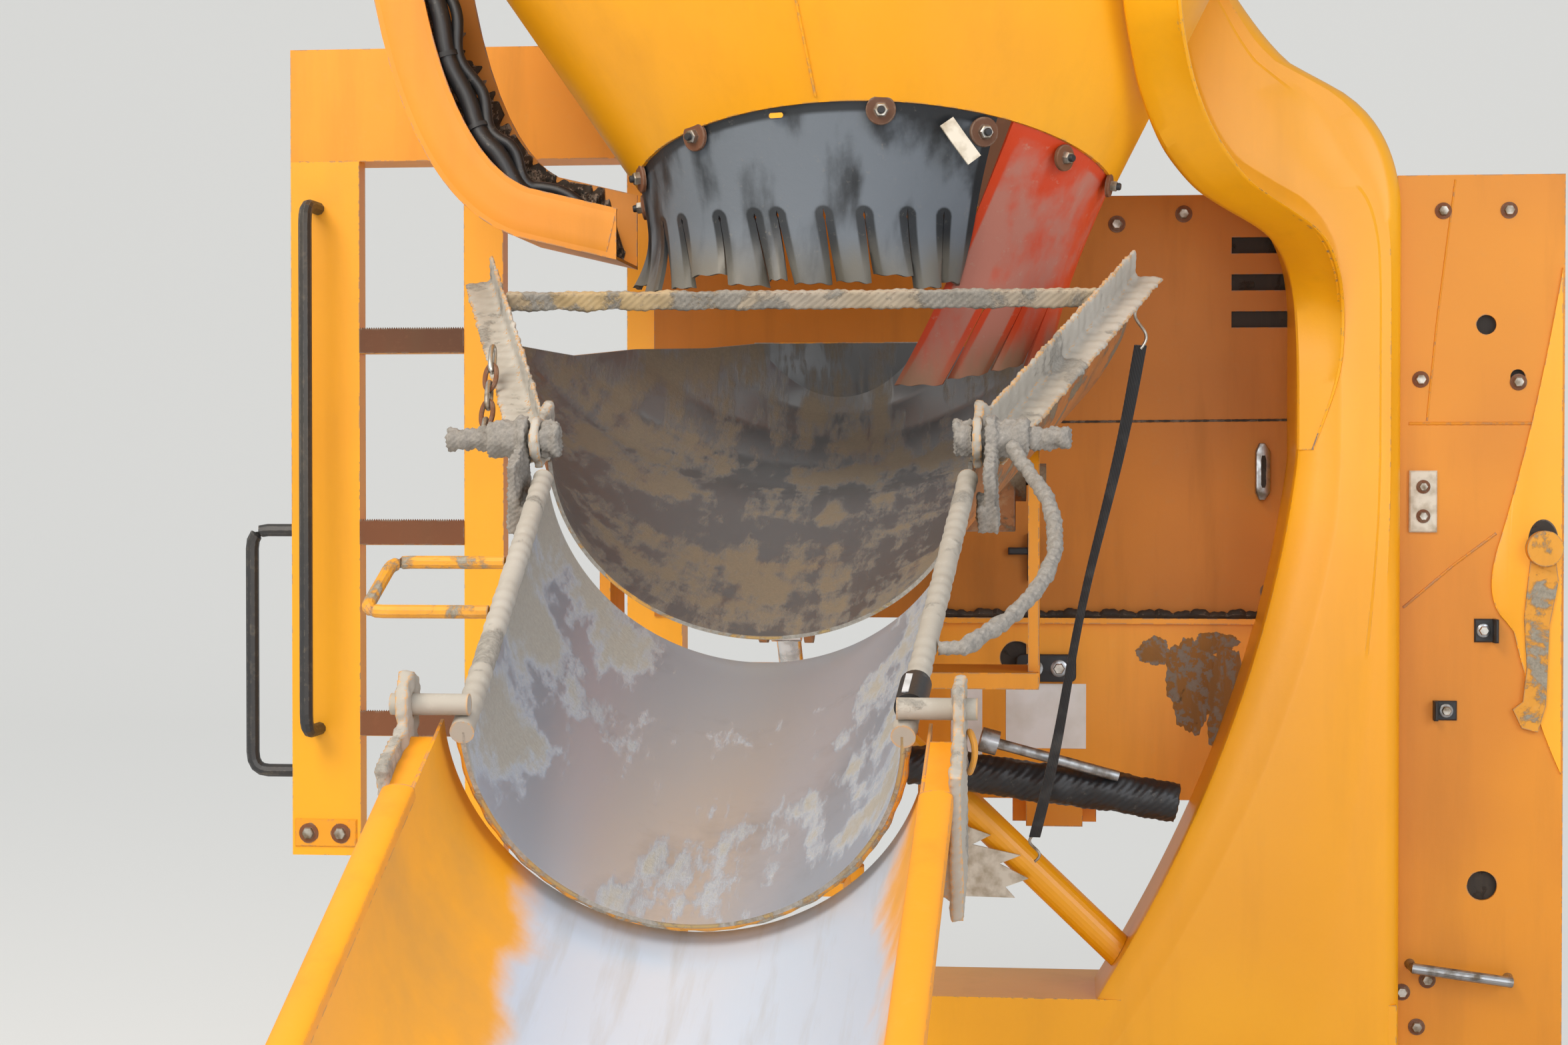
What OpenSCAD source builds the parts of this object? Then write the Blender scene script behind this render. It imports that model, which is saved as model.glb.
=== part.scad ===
// Rear discharge unit of a concrete mixer truck: pedestal, collector, swivel and three chutes.
// +Y points to the truck's cab, +Z up. The origin is the centre of the chassis bolt face.

/* [Chassis mount] */
// Spacing of the chassis bolts across the truck
bolt_span_x = 860; // [700:10:1000]
// Spacing of the chassis bolts in height
bolt_span_z = 200; // [140:10:260]
// Diameter of the chassis bolt holes
bolt_hole_d = 22; // [14:1:30]
// Thickness of the mount plates
mount_t = 16; // [8:1:30]
// Margin of a mount plate past its bolt holes
mount_margin = 60; // [40:5:90]

/* [Posts and beams] */
// Width of a post across the truck
post_w = 120; // [80:5:160]
// Depth of a post along the truck
post_d = 84; // [60:2:120]
// Height of the post tops
post_top = 1650; // [1500:10:1800]
// Height of the bumper beam's top face
bumper_top = -480; // [-600:10:-380]
// Height of the bumper beam's section
bumper_h = 140; // [80:10:200]
// Wall of the beams and posts
tube_wall = 6; // [3:0.5:10]
// Height of the top beam's section
top_beam_h = 120; // [80:10:180]

/* [Side column] */
// Outer edge of the side column
column_x = 1126; // [1060:2:1180]
// Width of the column's upright part
column_w = 210; // [150:5:260]
// Depth of the column along the truck
column_d = 250; // [150:10:300]
// Thickness of the column's plates
column_t = 8; // [4:1:12]
// How far the gusset foot flares towards the middle
foot_flare = 700; // [400:20:760]

/* [Panels] */
// Thickness of the sheet panels
panel_t = 6; // [3:1:10]
// Height of the seam between the upper and lower panels
panel_seam = 284; // [200:4:360]
// Number of cooling slots in the rear panel
slot_count = 3; // [1:1:4]

/* [Ladder] */
// Outside width of the ladder
ladder_w = 463; // [380:1:520]
// Width of the outer stile
outer_stile_w = 150; // [60:5:170]
// Width of the inner stile
inner_stile_w = 85; // [50:5:110]
// Thickness of the stiles
stile_t = 50; // [30:5:70]
// Spacing of the rungs
rung_pitch = 410; // [300:10:450]
// Number of rungs
rung_count = 3; // [2:1:4]

/* [Collector] */
// Half width of the funnel's top mouth across the truck
funnel_top_w = 820; // [760:10:860]
// Half depth of the funnel's top mouth along the truck
funnel_top_r = 690; // [600:10:740]
// Sideways offset of the top mouth
funnel_top_shift = 40; // [0:5:80]
// Half width of the funnel's lower mouth across the truck
funnel_low_r = 440; // [400:5:480]
// Half depth of the funnel's lower mouth along the truck
funnel_low_d = 345; // [330:5:400]
// Sideways offset of the lower mouth
funnel_shift = 100; // [0:5:140]
// Height of the funnel's top mouth
funnel_top_z = 1750; // [1650:10:1850]
// Height of the funnel's lower mouth at its sides
funnel_low_z = 1117; // [1060:1:1180]
// How much the funnel's front edge arches above its sides
funnel_arch = 110; // [40:5:160]
// Thickness of the funnel sheet
funnel_t = 6; // [4:1:10]
// Radius of the rubber boot
boot_r = 318; // [280:2:340]
// Thickness of the rubber boots
boot_t = 8; // [6:1:14]
// Height of the front boot's finger tips
boot_low_z = 916; // [880:2:960]

/* [Swivel] */
// Distance of the slew axis behind the chassis bolt face
slew_back = 850; // [800:5:950]
// Radius of the slew pin
slew_pin_r = 50; // [35:1:60]
// Height of the chute's lift pivot
pivot_z = 590; // [580:5:600]
// Radius of the lift pivot pins
pivot_pin_r = 20; // [12:1:26]
// Radial running clearance of the pins
pin_gap = 0.1; // [0.02:0.01:0.1]

/* [Chute line] */
// Slope of the chutes below the level
chute_slope = 22; // [16:1:28]
// Distance along the chute from the fold hinge to the slew axis
head_run = 1132; // [1100:4:1180]
// Height of the chute rim at the slew axis
rim_z = 1024; // [990:2:1060]
// Sheet thickness of the chutes
chute_t = 6; // [3:0.5:9]
// Inner half width where the main chute meets the fold-over chute
joint_half_w = 310; // [290:2:330]
// Inner half width of the main chute between its rail tips
head_half_w = 560; // [520:4:580]
// Length of the main chute's rails
rail_len = 860; // [820:5:890]
// Length of the fold-over chute
fold_len = 850; // [780:5:920]
// Inner radius at the fold-over chute's lower end
fold_end_r = 260; // [240:2:272]
// Length of the extension chute
ext_len = 1220; // [900:10:1300]
// Inner radius at the extension chute's upper end
ext_r = 292; // [288:1:300]
// Inner radius at the extension chute's lower end
ext_end_r = 272; // [250:2:286]

/* [Fold hinge] */
// Height of the fold hinge above the rims
hinge_rise = 45; // [40:1:60]
// Radius of the hinge bolts
hinge_bolt_r = 16; // [10:1:18]
// Thickness of the main chute's lug plates
lug_t = 14; // [8:1:16]

/* [Lift cylinder] */
// Distance of the cylinder's foot pin behind the slew axis
foot_back = 170; // [160:5:190]
// Height of the cylinder's foot pin
foot_z = -100; // [-120:5:-95]
// Place of the rod's eye along the main chute
eye_run = 300; // [280:5:320]
// Depth of the rod's eye below the rims
eye_drop = 390; // [385:1:400]
// Outer radius of the cylinder barrel
barrel_r = 42; // [36:1:48]
// Radius of the cylinder rod
rod_r = 20; // [15:1:24]
// Radius of the cylinder's pins
eye_pin_r = 12.5; // [10:0.5:14]

/* [Hidden] */
e = 0.5;
yellow = "#f0a51e";
steel = "#9aa0a6";

post_x = bolt_span_x / 2;
post_y = -mount_t - post_d;
panel_y = post_y - panel_t;
column_front = panel_y - column_d;
slew_y = -slew_back;
hinge_y = slew_y - head_run * cos(chute_slope);
hinge_z = rim_z - head_run * sin(chute_slope);
tip_x = head_half_w;
rail_turn = atan((tip_x - joint_half_w) / (rail_len - 20));

// Points on a curve pulled from a to c by b
function bend(a, b, c, n) = [for (i = [0:n]) let (s = i / n) (1 - s) * (1 - s) * a
    + 2 * s * (1 - s) * b + s * s * c];

// Unit vector
function unit(v) = v / norm(v);

// Path thickened to one side in the plane, as one closed outline
function band(path, t) = concat(path, [for (i = [len(path) - 1:-1:0])
    let (a = path[max(i - 1, 0)], b = path[min(i + 1, len(path) - 1)], d = unit(b - a))
    path[i] + t * [-d[1], d[0]]]);

// Faces of the sides of a skin over rings of m points
function side_faces(rings, m) = concat(
    [for (k = [0:rings - 2]) for (i = [0:m - 1]) let (j = (i + 1) % m)
        [k * m + i, k * m + j, (k + 1) * m + j]],
    [for (k = [0:rings - 2]) for (i = [0:m - 1]) let (j = (i + 1) % m)
        [k * m + i, (k + 1) * m + j, (k + 1) * m + i]]);

// Faces of a skin with a flat cap at each end
function skin_faces(rings, m) = concat(side_faces(rings, m),
    [[for (i = [m - 1:-1:0]) i]],
    [[for (i = [0:m - 1]) (rings - 1) * m + i]]);

// Faces of a skin whose rings run out along one line of n + 1 points and back along another
function sheet_faces(rings, n) = let (m = 2 * (n + 1), z = (rings - 1) * m) concat(
    side_faces(rings, m),
    [for (i = [0:n - 1]) [i, m - 1 - i, m - 2 - i]],
    [for (i = [0:n - 1]) [i, m - 2 - i, i + 1]],
    [for (i = [0:n - 1]) [z + i, z + m - 2 - i, z + m - 1 - i]],
    [for (i = [0:n - 1]) [z + i, z + i + 1, z + m - 2 - i]]);

// Round bar along a path
module rod_path(path, r, sides = 10) {
    n = len(path);
    points = [for (i = [0:n - 1])
        let (t = unit(path[min(i + 1, n - 1)] - path[max(i - 1, 0)]),
             ref = abs(t[0]) < 0.8 ? [1, 0, 0] : [0, 0, 1],
             u = unit(cross(ref, t)), v = cross(t, u))
        for (k = [0:sides - 1]) path[i] + r * (cos(-360 * k / sides) * u
            + sin(-360 * k / sides) * v)];
    polyhedron(points, skin_faces(n, sides), convexity = 6);
}

// The chutes' own frame: x across, y up the slope, z out of the rims, from the hinge line
module in_chute() {
    translate([0, hinge_y, hinge_z]) rotate([chute_slope, 0, 0]) children();
}

// Both sides of a piece
module both_sides() {
    children();
    mirror([1, 0, 0]) children();
}

// Cylinder along x between two places
module cross_pin(x0, x1, r) {
    translate([x0, 0, 0]) rotate([0, 90, 0]) cylinder(h = x1 - x0, r = r, $fn = 48);
}

// Rectangular tube along x
module tube_x(x0, x1, y0, y1, z0, z1) {
    difference() {
        translate([x0, y0, z0]) cube([x1 - x0, y1 - y0, z1 - z0]);
        translate([x0 - e, y0 + tube_wall, z0 + tube_wall])
            cube([x1 - x0 + 2 * e, y1 - y0 - 2 * tube_wall, z1 - z0 - 2 * tube_wall]);
    }
}

// Rectangular tube along z
module tube_z(x0, x1, y0, y1, z0, z1) {
    difference() {
        translate([x0, y0, z0]) cube([x1 - x0, y1 - y0, z1 - z0]);
        translate([x0 + tube_wall, y0 + tube_wall, z0 - e])
            cube([x1 - x0 - 2 * tube_wall, y1 - y0 - 2 * tube_wall, z1 - z0 + 2 * e]);
    }
}

// Plates that bolt to the ends of the chassis rails
plate_w = post_w + 2 * 30;
plate_h = bolt_span_z + 2 * mount_margin;
module mount_plates() {
    color(yellow) both_sides() difference() {
        translate([post_x - plate_w / 2, -mount_t, -plate_h / 2]) cube([plate_w, mount_t, plate_h]);
        for (z = [-bolt_span_z / 2, bolt_span_z / 2])
            translate([post_x, e, z]) rotate([90, 0, 0])
                cylinder(h = mount_t + 2 * e, r = bolt_hole_d / 2, $fn = 32);
    }
}

// Upright posts behind the panels, the left one down to the bumper beam
module post(bottom) {
    tube_z(post_x - post_w / 2, post_x + post_w / 2, post_y, -mount_t, bottom, post_top);
}
module left_post() {
    color(yellow) mirror([1, 0, 0]) post(bumper_top);
}
module right_post() {
    color(yellow) post(-plate_h / 2);
}

module bumper_beam() {
    color(yellow) tube_x(-post_x - 90, column_x - column_t, column_front + column_t,
                         -mount_t, bumper_top - bumper_h, bumper_top);
}

// The top beam's front face keeps clear of the funnel's rim
rim_flange = 18;
rim_gap = 2;
beam_front = slew_y + funnel_top_r + rim_flange + rim_gap;
beam_x1 = column_x - 386;
module top_beam() {
    color(yellow) tube_x(-post_x - 200, beam_x1, beam_front, -mount_t,
                         post_top, post_top + top_beam_h);
}

// Arm with the slew bearing, on a cross tube between the posts
arm_w = 260;
arm_z0 = -20;
arm_z1 = 140;
sleeve_r = 78;
sleeve_z0 = -60;
sleeve_z1 = 180;
module slew_arm() {
    color(yellow) {
        tube_x(-post_x + post_w / 2, post_x - post_w / 2, post_y, -mount_t, -60, 180);
        difference() {
            union() {
                translate([-arm_w / 2, slew_y, arm_z0])
                    cube([arm_w, post_y - slew_y, arm_z1 - arm_z0]);
                translate([0, slew_y, arm_z0])
                    cylinder(h = arm_z1 - arm_z0, r = arm_w / 2, $fn = 64);
                translate([0, slew_y, sleeve_z0])
                    cylinder(h = sleeve_z1 - sleeve_z0, r = sleeve_r, $fn = 64);
            }
            translate([0, slew_y, sleeve_z0 - e])
                cylinder(h = sleeve_z1 - sleeve_z0 + 2 * e, r = slew_pin_r + pin_gap, $fn = 64);
            translate([-arm_w / 2 + 12, slew_y + arm_w / 2, arm_z0 + 12])
                cube([arm_w - 24, post_y - slew_y - arm_w / 2 + e, arm_z1 - arm_z0 - 24]);
        }
    }
}

// Inner edge of the side column, from its flared foot to its curved top
column_in = column_x - column_w;
foot_z0 = bumper_top - bumper_h;
column_edge = concat(
    [[column_in - foot_flare + 180, foot_z0]],
    bend([column_in - foot_flare + 250, foot_z0 + 60], [column_in - 75, 20], [column_in, 620], 10),
    bend([column_in, 900], [column_in + 4, 1110], [column_in - 120, 1165], 6),
    bend([column_in - 200, 1215], [column_in - 300, 1290], [column_in - 350, post_top], 8));
column_out = concat(
    [[column_x, foot_z0]],
    bend([column_x, 1130], [column_x - 10, 1300], [column_x - 130, 1370], 6),
    bend([column_x - 220, 1420], [column_x - 290, 1480], [beam_x1, post_top], 5));
module side_column() {
    color(yellow) difference() {
        translate([0, column_front, 0]) {
            translate([0, column_t, 0]) rotate([90, 0, 0]) linear_extrude(column_t)
                polygon(concat(column_edge, [for (i = [len(column_out) - 1:-1:0]) column_out[i]]));
            translate([0, column_d, 0]) rotate([90, 0, 0]) linear_extrude(column_d)
                polygon(band(column_edge, -column_t));
            translate([0, column_d, 0]) rotate([90, 0, 0]) linear_extrude(column_d)
                polygon(band(column_out, column_t));
        }
        translate([0, column_front + column_t, foot_z0 - e])
            cube([column_x - column_t, column_d, bumper_h + e]);
        translate([0, column_front - e, post_top - e]) cube([column_x, column_d + 2 * e, 100]);
    }
}

// Outer plate with its holes, beside the column
side_y = -250;
side_x1 = 1460;
module side_plate() {
    color(yellow) difference() {
        translate([column_x, side_y, foot_z0]) cube([side_x1 - column_x, column_t, 1820]);
        for (h = [[1304, 895, 20], [1367, 789, 15], [1300, -250, 30]])
            translate([h[0], side_y - e, h[1]]) rotate([-90, 0, 0])
                cylinder(h = column_t + 2 * e, r = h[2], $fn = 32);
    }
    color(yellow) translate([side_x1 - column_t, side_y + column_t, foot_z0])
        cube([column_t, 130, 1820]);
}

module rear_panel() {
    color(yellow) difference() {
        translate([-post_x, panel_y, panel_seam])
            cube([column_x - column_t + post_x, panel_t, 1180 - panel_seam]);
        for (i = [0:slot_count - 1])
            translate([800, panel_y - e, 900 + 78 * i]) cube([130, panel_t + 2 * e, 34]);
    }
}

module lower_panel() {
    color(yellow) difference() {
        translate([arm_w / 2 + 10, panel_y, -plate_h / 2 + 60])
            cube([column_x - column_t - arm_w / 2 - 10, panel_t, panel_seam + plate_h / 2 - 60]);
        translate([350, panel_y - e, 200]) rotate([-90, 0, 0])
            cylinder(h = panel_t + 2 * e, r = 35, $fn = 32);
    }
}

// Ladder hung from an outrigger on the left
ladder_x1 = -739;
ladder_x0 = ladder_x1 - ladder_w;
ladder_top = 1260;
ladder_low = -229;
ladder_y = -210;
module ladder_arm() {
    color(yellow) tube_x(ladder_x0, -post_x - post_w / 2, ladder_y, ladder_y + 120,
                         ladder_top, ladder_top + 240);
}
module ladder() {
    color(yellow) {
        difference() {
            translate([ladder_x0, ladder_y, ladder_low])
                cube([outer_stile_w, stile_t, ladder_top - ladder_low]);
            translate([ladder_x0 + 8, ladder_y + 8, ladder_low - e])
                cube([outer_stile_w - 16, stile_t, ladder_top - ladder_low + 2 * e]);
        }
        difference() {
            translate([ladder_x1 - inner_stile_w, ladder_y, ladder_low])
                cube([inner_stile_w, stile_t, ladder_top - ladder_low]);
            translate([ladder_x1 - inner_stile_w + 8, ladder_y + 8, ladder_low - e])
                cube([inner_stile_w - 16, stile_t, ladder_top - ladder_low + 2 * e]);
        }
        for (i = [0:rung_count - 1])
            translate([ladder_x0 + outer_stile_w, ladder_y, 54 + i * rung_pitch - 25])
                cube([ladder_w - outer_stile_w - inner_stile_w, 40, 50]);
    }
}

// Bent grab rails, one before the outer stile and one beside it
rail_r = 14;
rail_out = 100;
module grab_rails() {
    color("#3b3d40") {
        rod_path(concat([[ladder_x0 + 60, ladder_y, 1160]],
            bend([ladder_x0 + 60, ladder_y - rail_out + 40, 1160],
                 [ladder_x0 + 60, ladder_y - rail_out, 1160],
                 [ladder_x0 + 60, ladder_y - rail_out, 1120], 4),
            bend([ladder_x0 + 60, ladder_y - rail_out, 84],
                 [ladder_x0 + 60, ladder_y - rail_out, 44],
                 [ladder_x0 + 60, ladder_y - rail_out + 40, 44], 4),
            [[ladder_x0 + 60, ladder_y, 44]]), rail_r);
        rod_path(concat([[ladder_x0, ladder_y + 25, 470]],
            bend([ladder_x0 - 60, ladder_y + 25, 470], [ladder_x0 - 95, ladder_y + 25, 470],
                 [ladder_x0 - 95, ladder_y + 25, 430], 4),
            bend([ladder_x0 - 95, ladder_y + 25, -10], [ladder_x0 - 95, ladder_y + 25, -50],
                 [ladder_x0 - 60, ladder_y + 25, -50], 4),
            [[ladder_x0, ladder_y + 25, -50]]), rail_r);
    }
}

// Curved gutter hung from the funnel's rim on the left, which carries hoses behind its front edge
gutter_y0 = slew_y - 100;
gutter_y1 = slew_y + 150;
gutter_t = 6;
gutter_front = 92;
gutter_back = 140;
gutter_tail = boot_r + boot_t + 44;
rim_left = funnel_top_w - funnel_top_shift + rim_flange;
gutter_line = concat(
    [[rim_left + gutter_t, funnel_top_z + 28], [rim_left + gutter_t, funnel_top_z]],
    bend([rim_left + 52, funnel_top_z - 110], [rim_left - 8, funnel_low_z - 7],
         [gutter_tail + 190, funnel_low_z - 87], 12),
    [[gutter_tail, funnel_low_z - 132]]);
gutter_bend = [for (i = [2:len(gutter_line) - 1]) gutter_line[i]];
module left_gutter() {
    color(yellow) mirror([1, 0, 0]) intersection() {
        union() {
            translate([0, gutter_y1, 0]) rotate([90, 0, 0]) linear_extrude(gutter_y1 - gutter_y0)
                polygon(band(gutter_line, -gutter_t));
            translate([0, gutter_y0 + gutter_t, 0]) rotate([90, 0, 0]) linear_extrude(gutter_t)
                polygon(band(gutter_bend, -gutter_front));
            translate([0, gutter_y1, 0]) rotate([90, 0, 0]) linear_extrude(gutter_t)
                polygon(band(gutter_bend, -gutter_back));
        }
        translate([gutter_tail, gutter_y0 - e, 0])
            cube([1000, gutter_y1 - gutter_y0 + 2 * e, 2000]);
    }
}

// Curved arm from the funnel's rim down to the side column: its left and right edge at each ring,
// and how far those edges turn back
arm_t = 8;
arm_rings = [
    [[527, -1425, funnel_top_z], [627, -1455, funnel_top_z], 12, 60],
    [[534, -1340, 1569], [633, -1370, 1560], 28, 60],
    [[547, -1220, 1396], [645, -1250, 1389], 28, 60],
    [[561, -1160, 1336], [656, -1190, 1335], 28, 60],
    [[575, -1090, 1278], [672, -1120, 1283], 28, 60],
    [[599, -1030, 1221], [692, -1060, 1239], 28, 60],
    [[627, -970, 1170], [716, -1000, 1198], 28, 60],
    [[685, -870, 1114], [779, -900, 1125], 28, 60],
    [[743, -790, 1087], [834, -820, 1099], 28, 60],
    [[840, -650, 1051], [945, -680, 1047], 28, 60],
    [[888, -470, 1001], [991, -500, 978], 28, 60],
    [[909, -366, 930], [1009, -376, 912], 10, 20],
    [[915, -366, 820], [1011, -376, 818], 10, 20],
    [[917, -366, 693], [1013, -376, 693], 10, 20]];
module right_arm() {
    t = arm_t;
    color(yellow) polyhedron([for (r = arm_rings) let (l = r[0], m = r[1], f = [0, r[2], 0],
            g = [0, r[3], 0])
        for (p = [l + f, l, m, m + g, m + g - [t, 0, 0], m + [-t, t, 0],
                  l + [t, t, 0], l + f + [t, 0, 0]]) p],
        sheet_faces(len(arm_rings), 3), convexity = 8);
}

// Oblique funnel: rings lean towards the lower mouth, whose front edge arches up
ring_n = 64;
rim_h = 30;
function fun_share(z) = (z - funnel_low_z) / (funnel_top_z - funnel_low_z);
function fun_point(a, z, inset) = let (s = fun_share(z),
    rx = funnel_low_r + s * (funnel_top_w - funnel_low_r) - inset,
    ry = funnel_low_d + s * (funnel_top_r - funnel_low_d) - inset)
    [funnel_shift + s * (funnel_top_shift - funnel_shift) + rx * cos(a), slew_y + ry * sin(a), z];
function rim_point(a, grow, z) = [funnel_top_shift + (funnel_top_w + grow) * cos(a),
                                  slew_y + (funnel_top_r + grow) * sin(a), z];
function low_edge(a) = funnel_low_z + funnel_arch * pow(max(0, -sin(a)), 1.6);
module funnel() {
    section = [for (i = [0:ring_n - 1]) let (a = 360 * i / ring_n, low = low_edge(a))
        [fun_point(a, low, 0), fun_point(a, funnel_top_z, 0),
         rim_point(a, rim_flange, funnel_top_z), rim_point(a, rim_flange, funnel_top_z + rim_h),
         rim_point(a, -funnel_t, funnel_top_z + rim_h), fun_point(a, funnel_top_z, funnel_t),
         fun_point(a, low, funnel_t)]];
    m = 7;
    faces = [for (i = [0:ring_n - 1]) for (k = [0:m - 1])
        let (j = (i + 1) % ring_n, l = (k + 1) % m)
        for (f = [[i * m + k, i * m + l, j * m + l], [i * m + k, j * m + l, j * m + k]]) f];
    color(yellow) polyhedron([for (i = [0:ring_n - 1]) for (p = section[i]) p], faces,
                             convexity = 8);
}

// Arms from the top beam that carry the funnel's rim
module funnel_arms() {
    color(yellow) both_sides() translate([500, slew_y + 360, funnel_top_z + 30])
        cube([80, -slew_y - 360 - mount_t, 60]);
    color(yellow) both_sides() translate([500, beam_front, post_top + top_beam_h])
        cube([80, -mount_t - beam_front, funnel_top_z + 30 - post_top - top_beam_h]);
}

// Stay between the slew arm and the side column's foot
brace_y = -250;
module brace_bar() {
    rod_path([[90, brace_y, 54], [690, brace_y, -516]], 34, 24);
}
module brace() {
    color(yellow) difference() {
        brace_bar();
        translate([0, slew_y, -300]) cube([arm_w / 2, -slew_y, 600]);
        translate([0, column_front + column_d, 0]) rotate([90, 0, 0]) linear_extrude(column_d)
            polygon(concat(column_edge, [[column_x, post_top], [column_x, foot_z0]]));
    }
}

// Hose with its thick sleeve, and the lever beside it
module hose_sleeve() {
    color("#2a2c2e") rod_path([[arm_w / 2 + 0.6, -338, -6], [170, -338, -6], [400, -352, -38],
                               [560, -352, -56], [680, -352, -77]], 40, 24);
}
lever_knob = [300, -408, 51];
lever_end = [560, -388.5, -19.5];
module control_lever() {
    way = lever_end - lever_knob;
    color(steel) translate(lever_knob)
        rotate([0, acos(way[2] / norm(way)), atan2(way[1], way[0])]) {
            cylinder(h = norm(way), r = 11, $fn = 32);
            translate([0, 0, -18]) cylinder(h = 36, r = 25, $fn = 32);
        }
}

// Slit flap on the stay that catches drips
module drip_flap() {
    color("#b9a78c") translate([0, brace_y - 34.3, 0]) rotate([90, 0, 0]) linear_extrude(8)
        polygon([[138, -280], [168, -120], [208, -122], [300, -155], [262, -175], [362, -196],
                 [318, -214], [378, -244], [330, -262], [350, -284]]);
}

// Hooked latch with its pivot on the side plate
module side_latch() {
    color("#d9a050") {
        translate([0, side_y, 0]) rotate([90, 0, 0]) linear_extrude(12)
            polygon([[1392, 418], [1440, 434], [1448, 375], [1430, 280], [1424, 120], [1408, 66],
                     [1376, 74], [1358, 112], [1378, 128], [1386, 200], [1380, 300]]);
        translate([1418, side_y, 440]) rotate([90, 0, 0])
            cylinder(h = 34, r = 36, $fn = 32);
    }
}

// Step bar on the side plate
module step_bar() {
    color(steel) rod_path([[1156, side_y, -413], [1156, side_y - 50, -413],
                           [1352, side_y - 50, -438], [1352, side_y, -438]], 11, 16);
}

// Small fixed fittings on the panels: pad plate, black latch, bracket, cap and pull
module panel_fittings() {
    color("#8d8f90") {
        translate([1150, side_y - 10, 472]) cube([56, 10, 126]);
        translate([1282, side_y - 40, 248]) cube([44, 40, 48]);
        translate([1200, side_y - 30, 88]) cube([48, 30, 40]);
        translate([350, panel_y - 40, 150]) cube([126, 40, 58]);
        translate([850, panel_y - 34, 536]) cube([30, 34, 120]);
    }
}

// Rubber boots: sheets that hang inside the funnel's lower edge, slit into fingers
// Each takes: first and last angle on the funnel, lap above its edge, place of the lower ring's
// middle, its radius, first and last angle there, height of the tips and how much they rise
boot_gap = 0.8;
module apron(b0, b1, lap, mid, r, a0, a1, low, rise, fingers, slit) {
    n = fingers * 5;
    function wall(i, out, up) = let (b = b0 + (b1 - b0) * i / n)
        fun_point(b, low_edge(b) + up, funnel_t + boot_gap + (1 - out) * boot_t);
    function foot(i, out) = let (s = i / n, a = a0 + (a1 - a0) * s)
        [mid[0] + (r + out * boot_t) * cos(a), slew_y + mid[1] + (r + out * boot_t) * sin(a),
         low + rise * s * s];
    difference() {
        polyhedron([for (i = [0:n]) for (p = [foot(i, 1), wall(i, 1, 0), wall(i, 1, lap),
                                              wall(i, 0, lap), wall(i, 0, 0), foot(i, 0)]) p],
                   sheet_faces(n + 1, 2), convexity = 8);
        for (k = [1:fingers - 1]) let (i = 5 * k, f = foot(i, 0), t = wall(i, 0, 0),
                a = a0 + (a1 - a0) * k / fingers)
            translate(f) rotate([0, 0, a]) rotate([0, atan2((t - f) * [cos(a), sin(a), 0],
                                                            t[2] - f[2]), 0]) {
                translate([-40, 0, slit]) rotate([0, 90, 0]) cylinder(h = 90, r = 9, $fn = 24);
                translate([-40, 0, 0]) rotate([90, 0, 90]) linear_extrude(90)
                    polygon([[-14, -30], [14, -30], [9, slit], [-9, slit]]);
            }
    }
}
module front_boot() {
    color("#303437") apron(-179, -60, 45, [0, 0], boot_r, -178, -32, boot_low_z, 0, 9, 135);
}
module side_boot() {
    color("#c8502a") apron(-56, -3, 45, [250, 90], 180, -125, -25, 745, 60, 4, 120);
}

// Slew pin with its thrust collar
thrust_gap = 0.3;
yoke_z0 = sleeve_z1 + 20;
foot_top = foot_z - 40;
module swivel_post() {
    color(steel) translate([0, slew_y, 0]) {
        translate([0, 0, foot_top]) cylinder(h = yoke_z0 - foot_top, r = slew_pin_r, $fn = 64);
        translate([0, 0, sleeve_z1 + thrust_gap])
            cylinder(h = yoke_z0 - sleeve_z1 - thrust_gap, r = sleeve_r, $fn = 64);
    }
}

// Yoke that carries the main chute on two pivot pins
yoke_x = 385;
yoke_t = 20;
module yoke_side() {
    difference() {
        union() {
            translate([yoke_x, slew_y - 80, yoke_z0]) cube([yoke_t, 160, pivot_z - yoke_z0]);
            translate([yoke_x, slew_y, pivot_z]) rotate([0, 90, 0])
                cylinder(h = yoke_t, r = 46, $fn = 48);
        }
        translate([0, slew_y, pivot_z]) cross_pin(yoke_x - e, yoke_x + yoke_t + e, pivot_pin_r + pin_gap);
    }
}
module swivel_yoke() {
    color(yellow) {
        translate([-yoke_x - yoke_t, slew_y - 110, yoke_z0]) cube([2 * (yoke_x + yoke_t), 220, 30]);
        both_sides() yoke_side();
    }
}

// Lower arm of the swivel with the cylinder's foot pin
foot_y = slew_y - foot_back;
ear_x = 32;
module cylinder_foot() {
    color(yellow) {
        translate([0, slew_y, foot_top - 25]) cylinder(h = 25, r = 80, $fn = 48);
        translate([-60, foot_y - 45, foot_top - 25]) cube([120, foot_back + 45, 25]);
        both_sides() {
            translate([ear_x, foot_y - 40, foot_top]) cube([14, 80, foot_z - foot_top]);
            translate([0, foot_y, foot_z]) cross_pin(ear_x, ear_x + 14, 40);
        }
        translate([0, foot_y, foot_z]) cross_pin(-ear_x - 20, ear_x + 20, eye_pin_r);
    }
}

// Rod's eye place, worked out from the chute
eye_y = hinge_y + eye_run * cos(chute_slope) + eye_drop * sin(chute_slope);
eye_z = hinge_z + eye_run * sin(chute_slope) - eye_drop * cos(chute_slope);
cyl_len = norm([eye_y - foot_y, eye_z - foot_z]);
cyl_rise = atan2(eye_z - foot_z, foot_y - eye_y);
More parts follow.
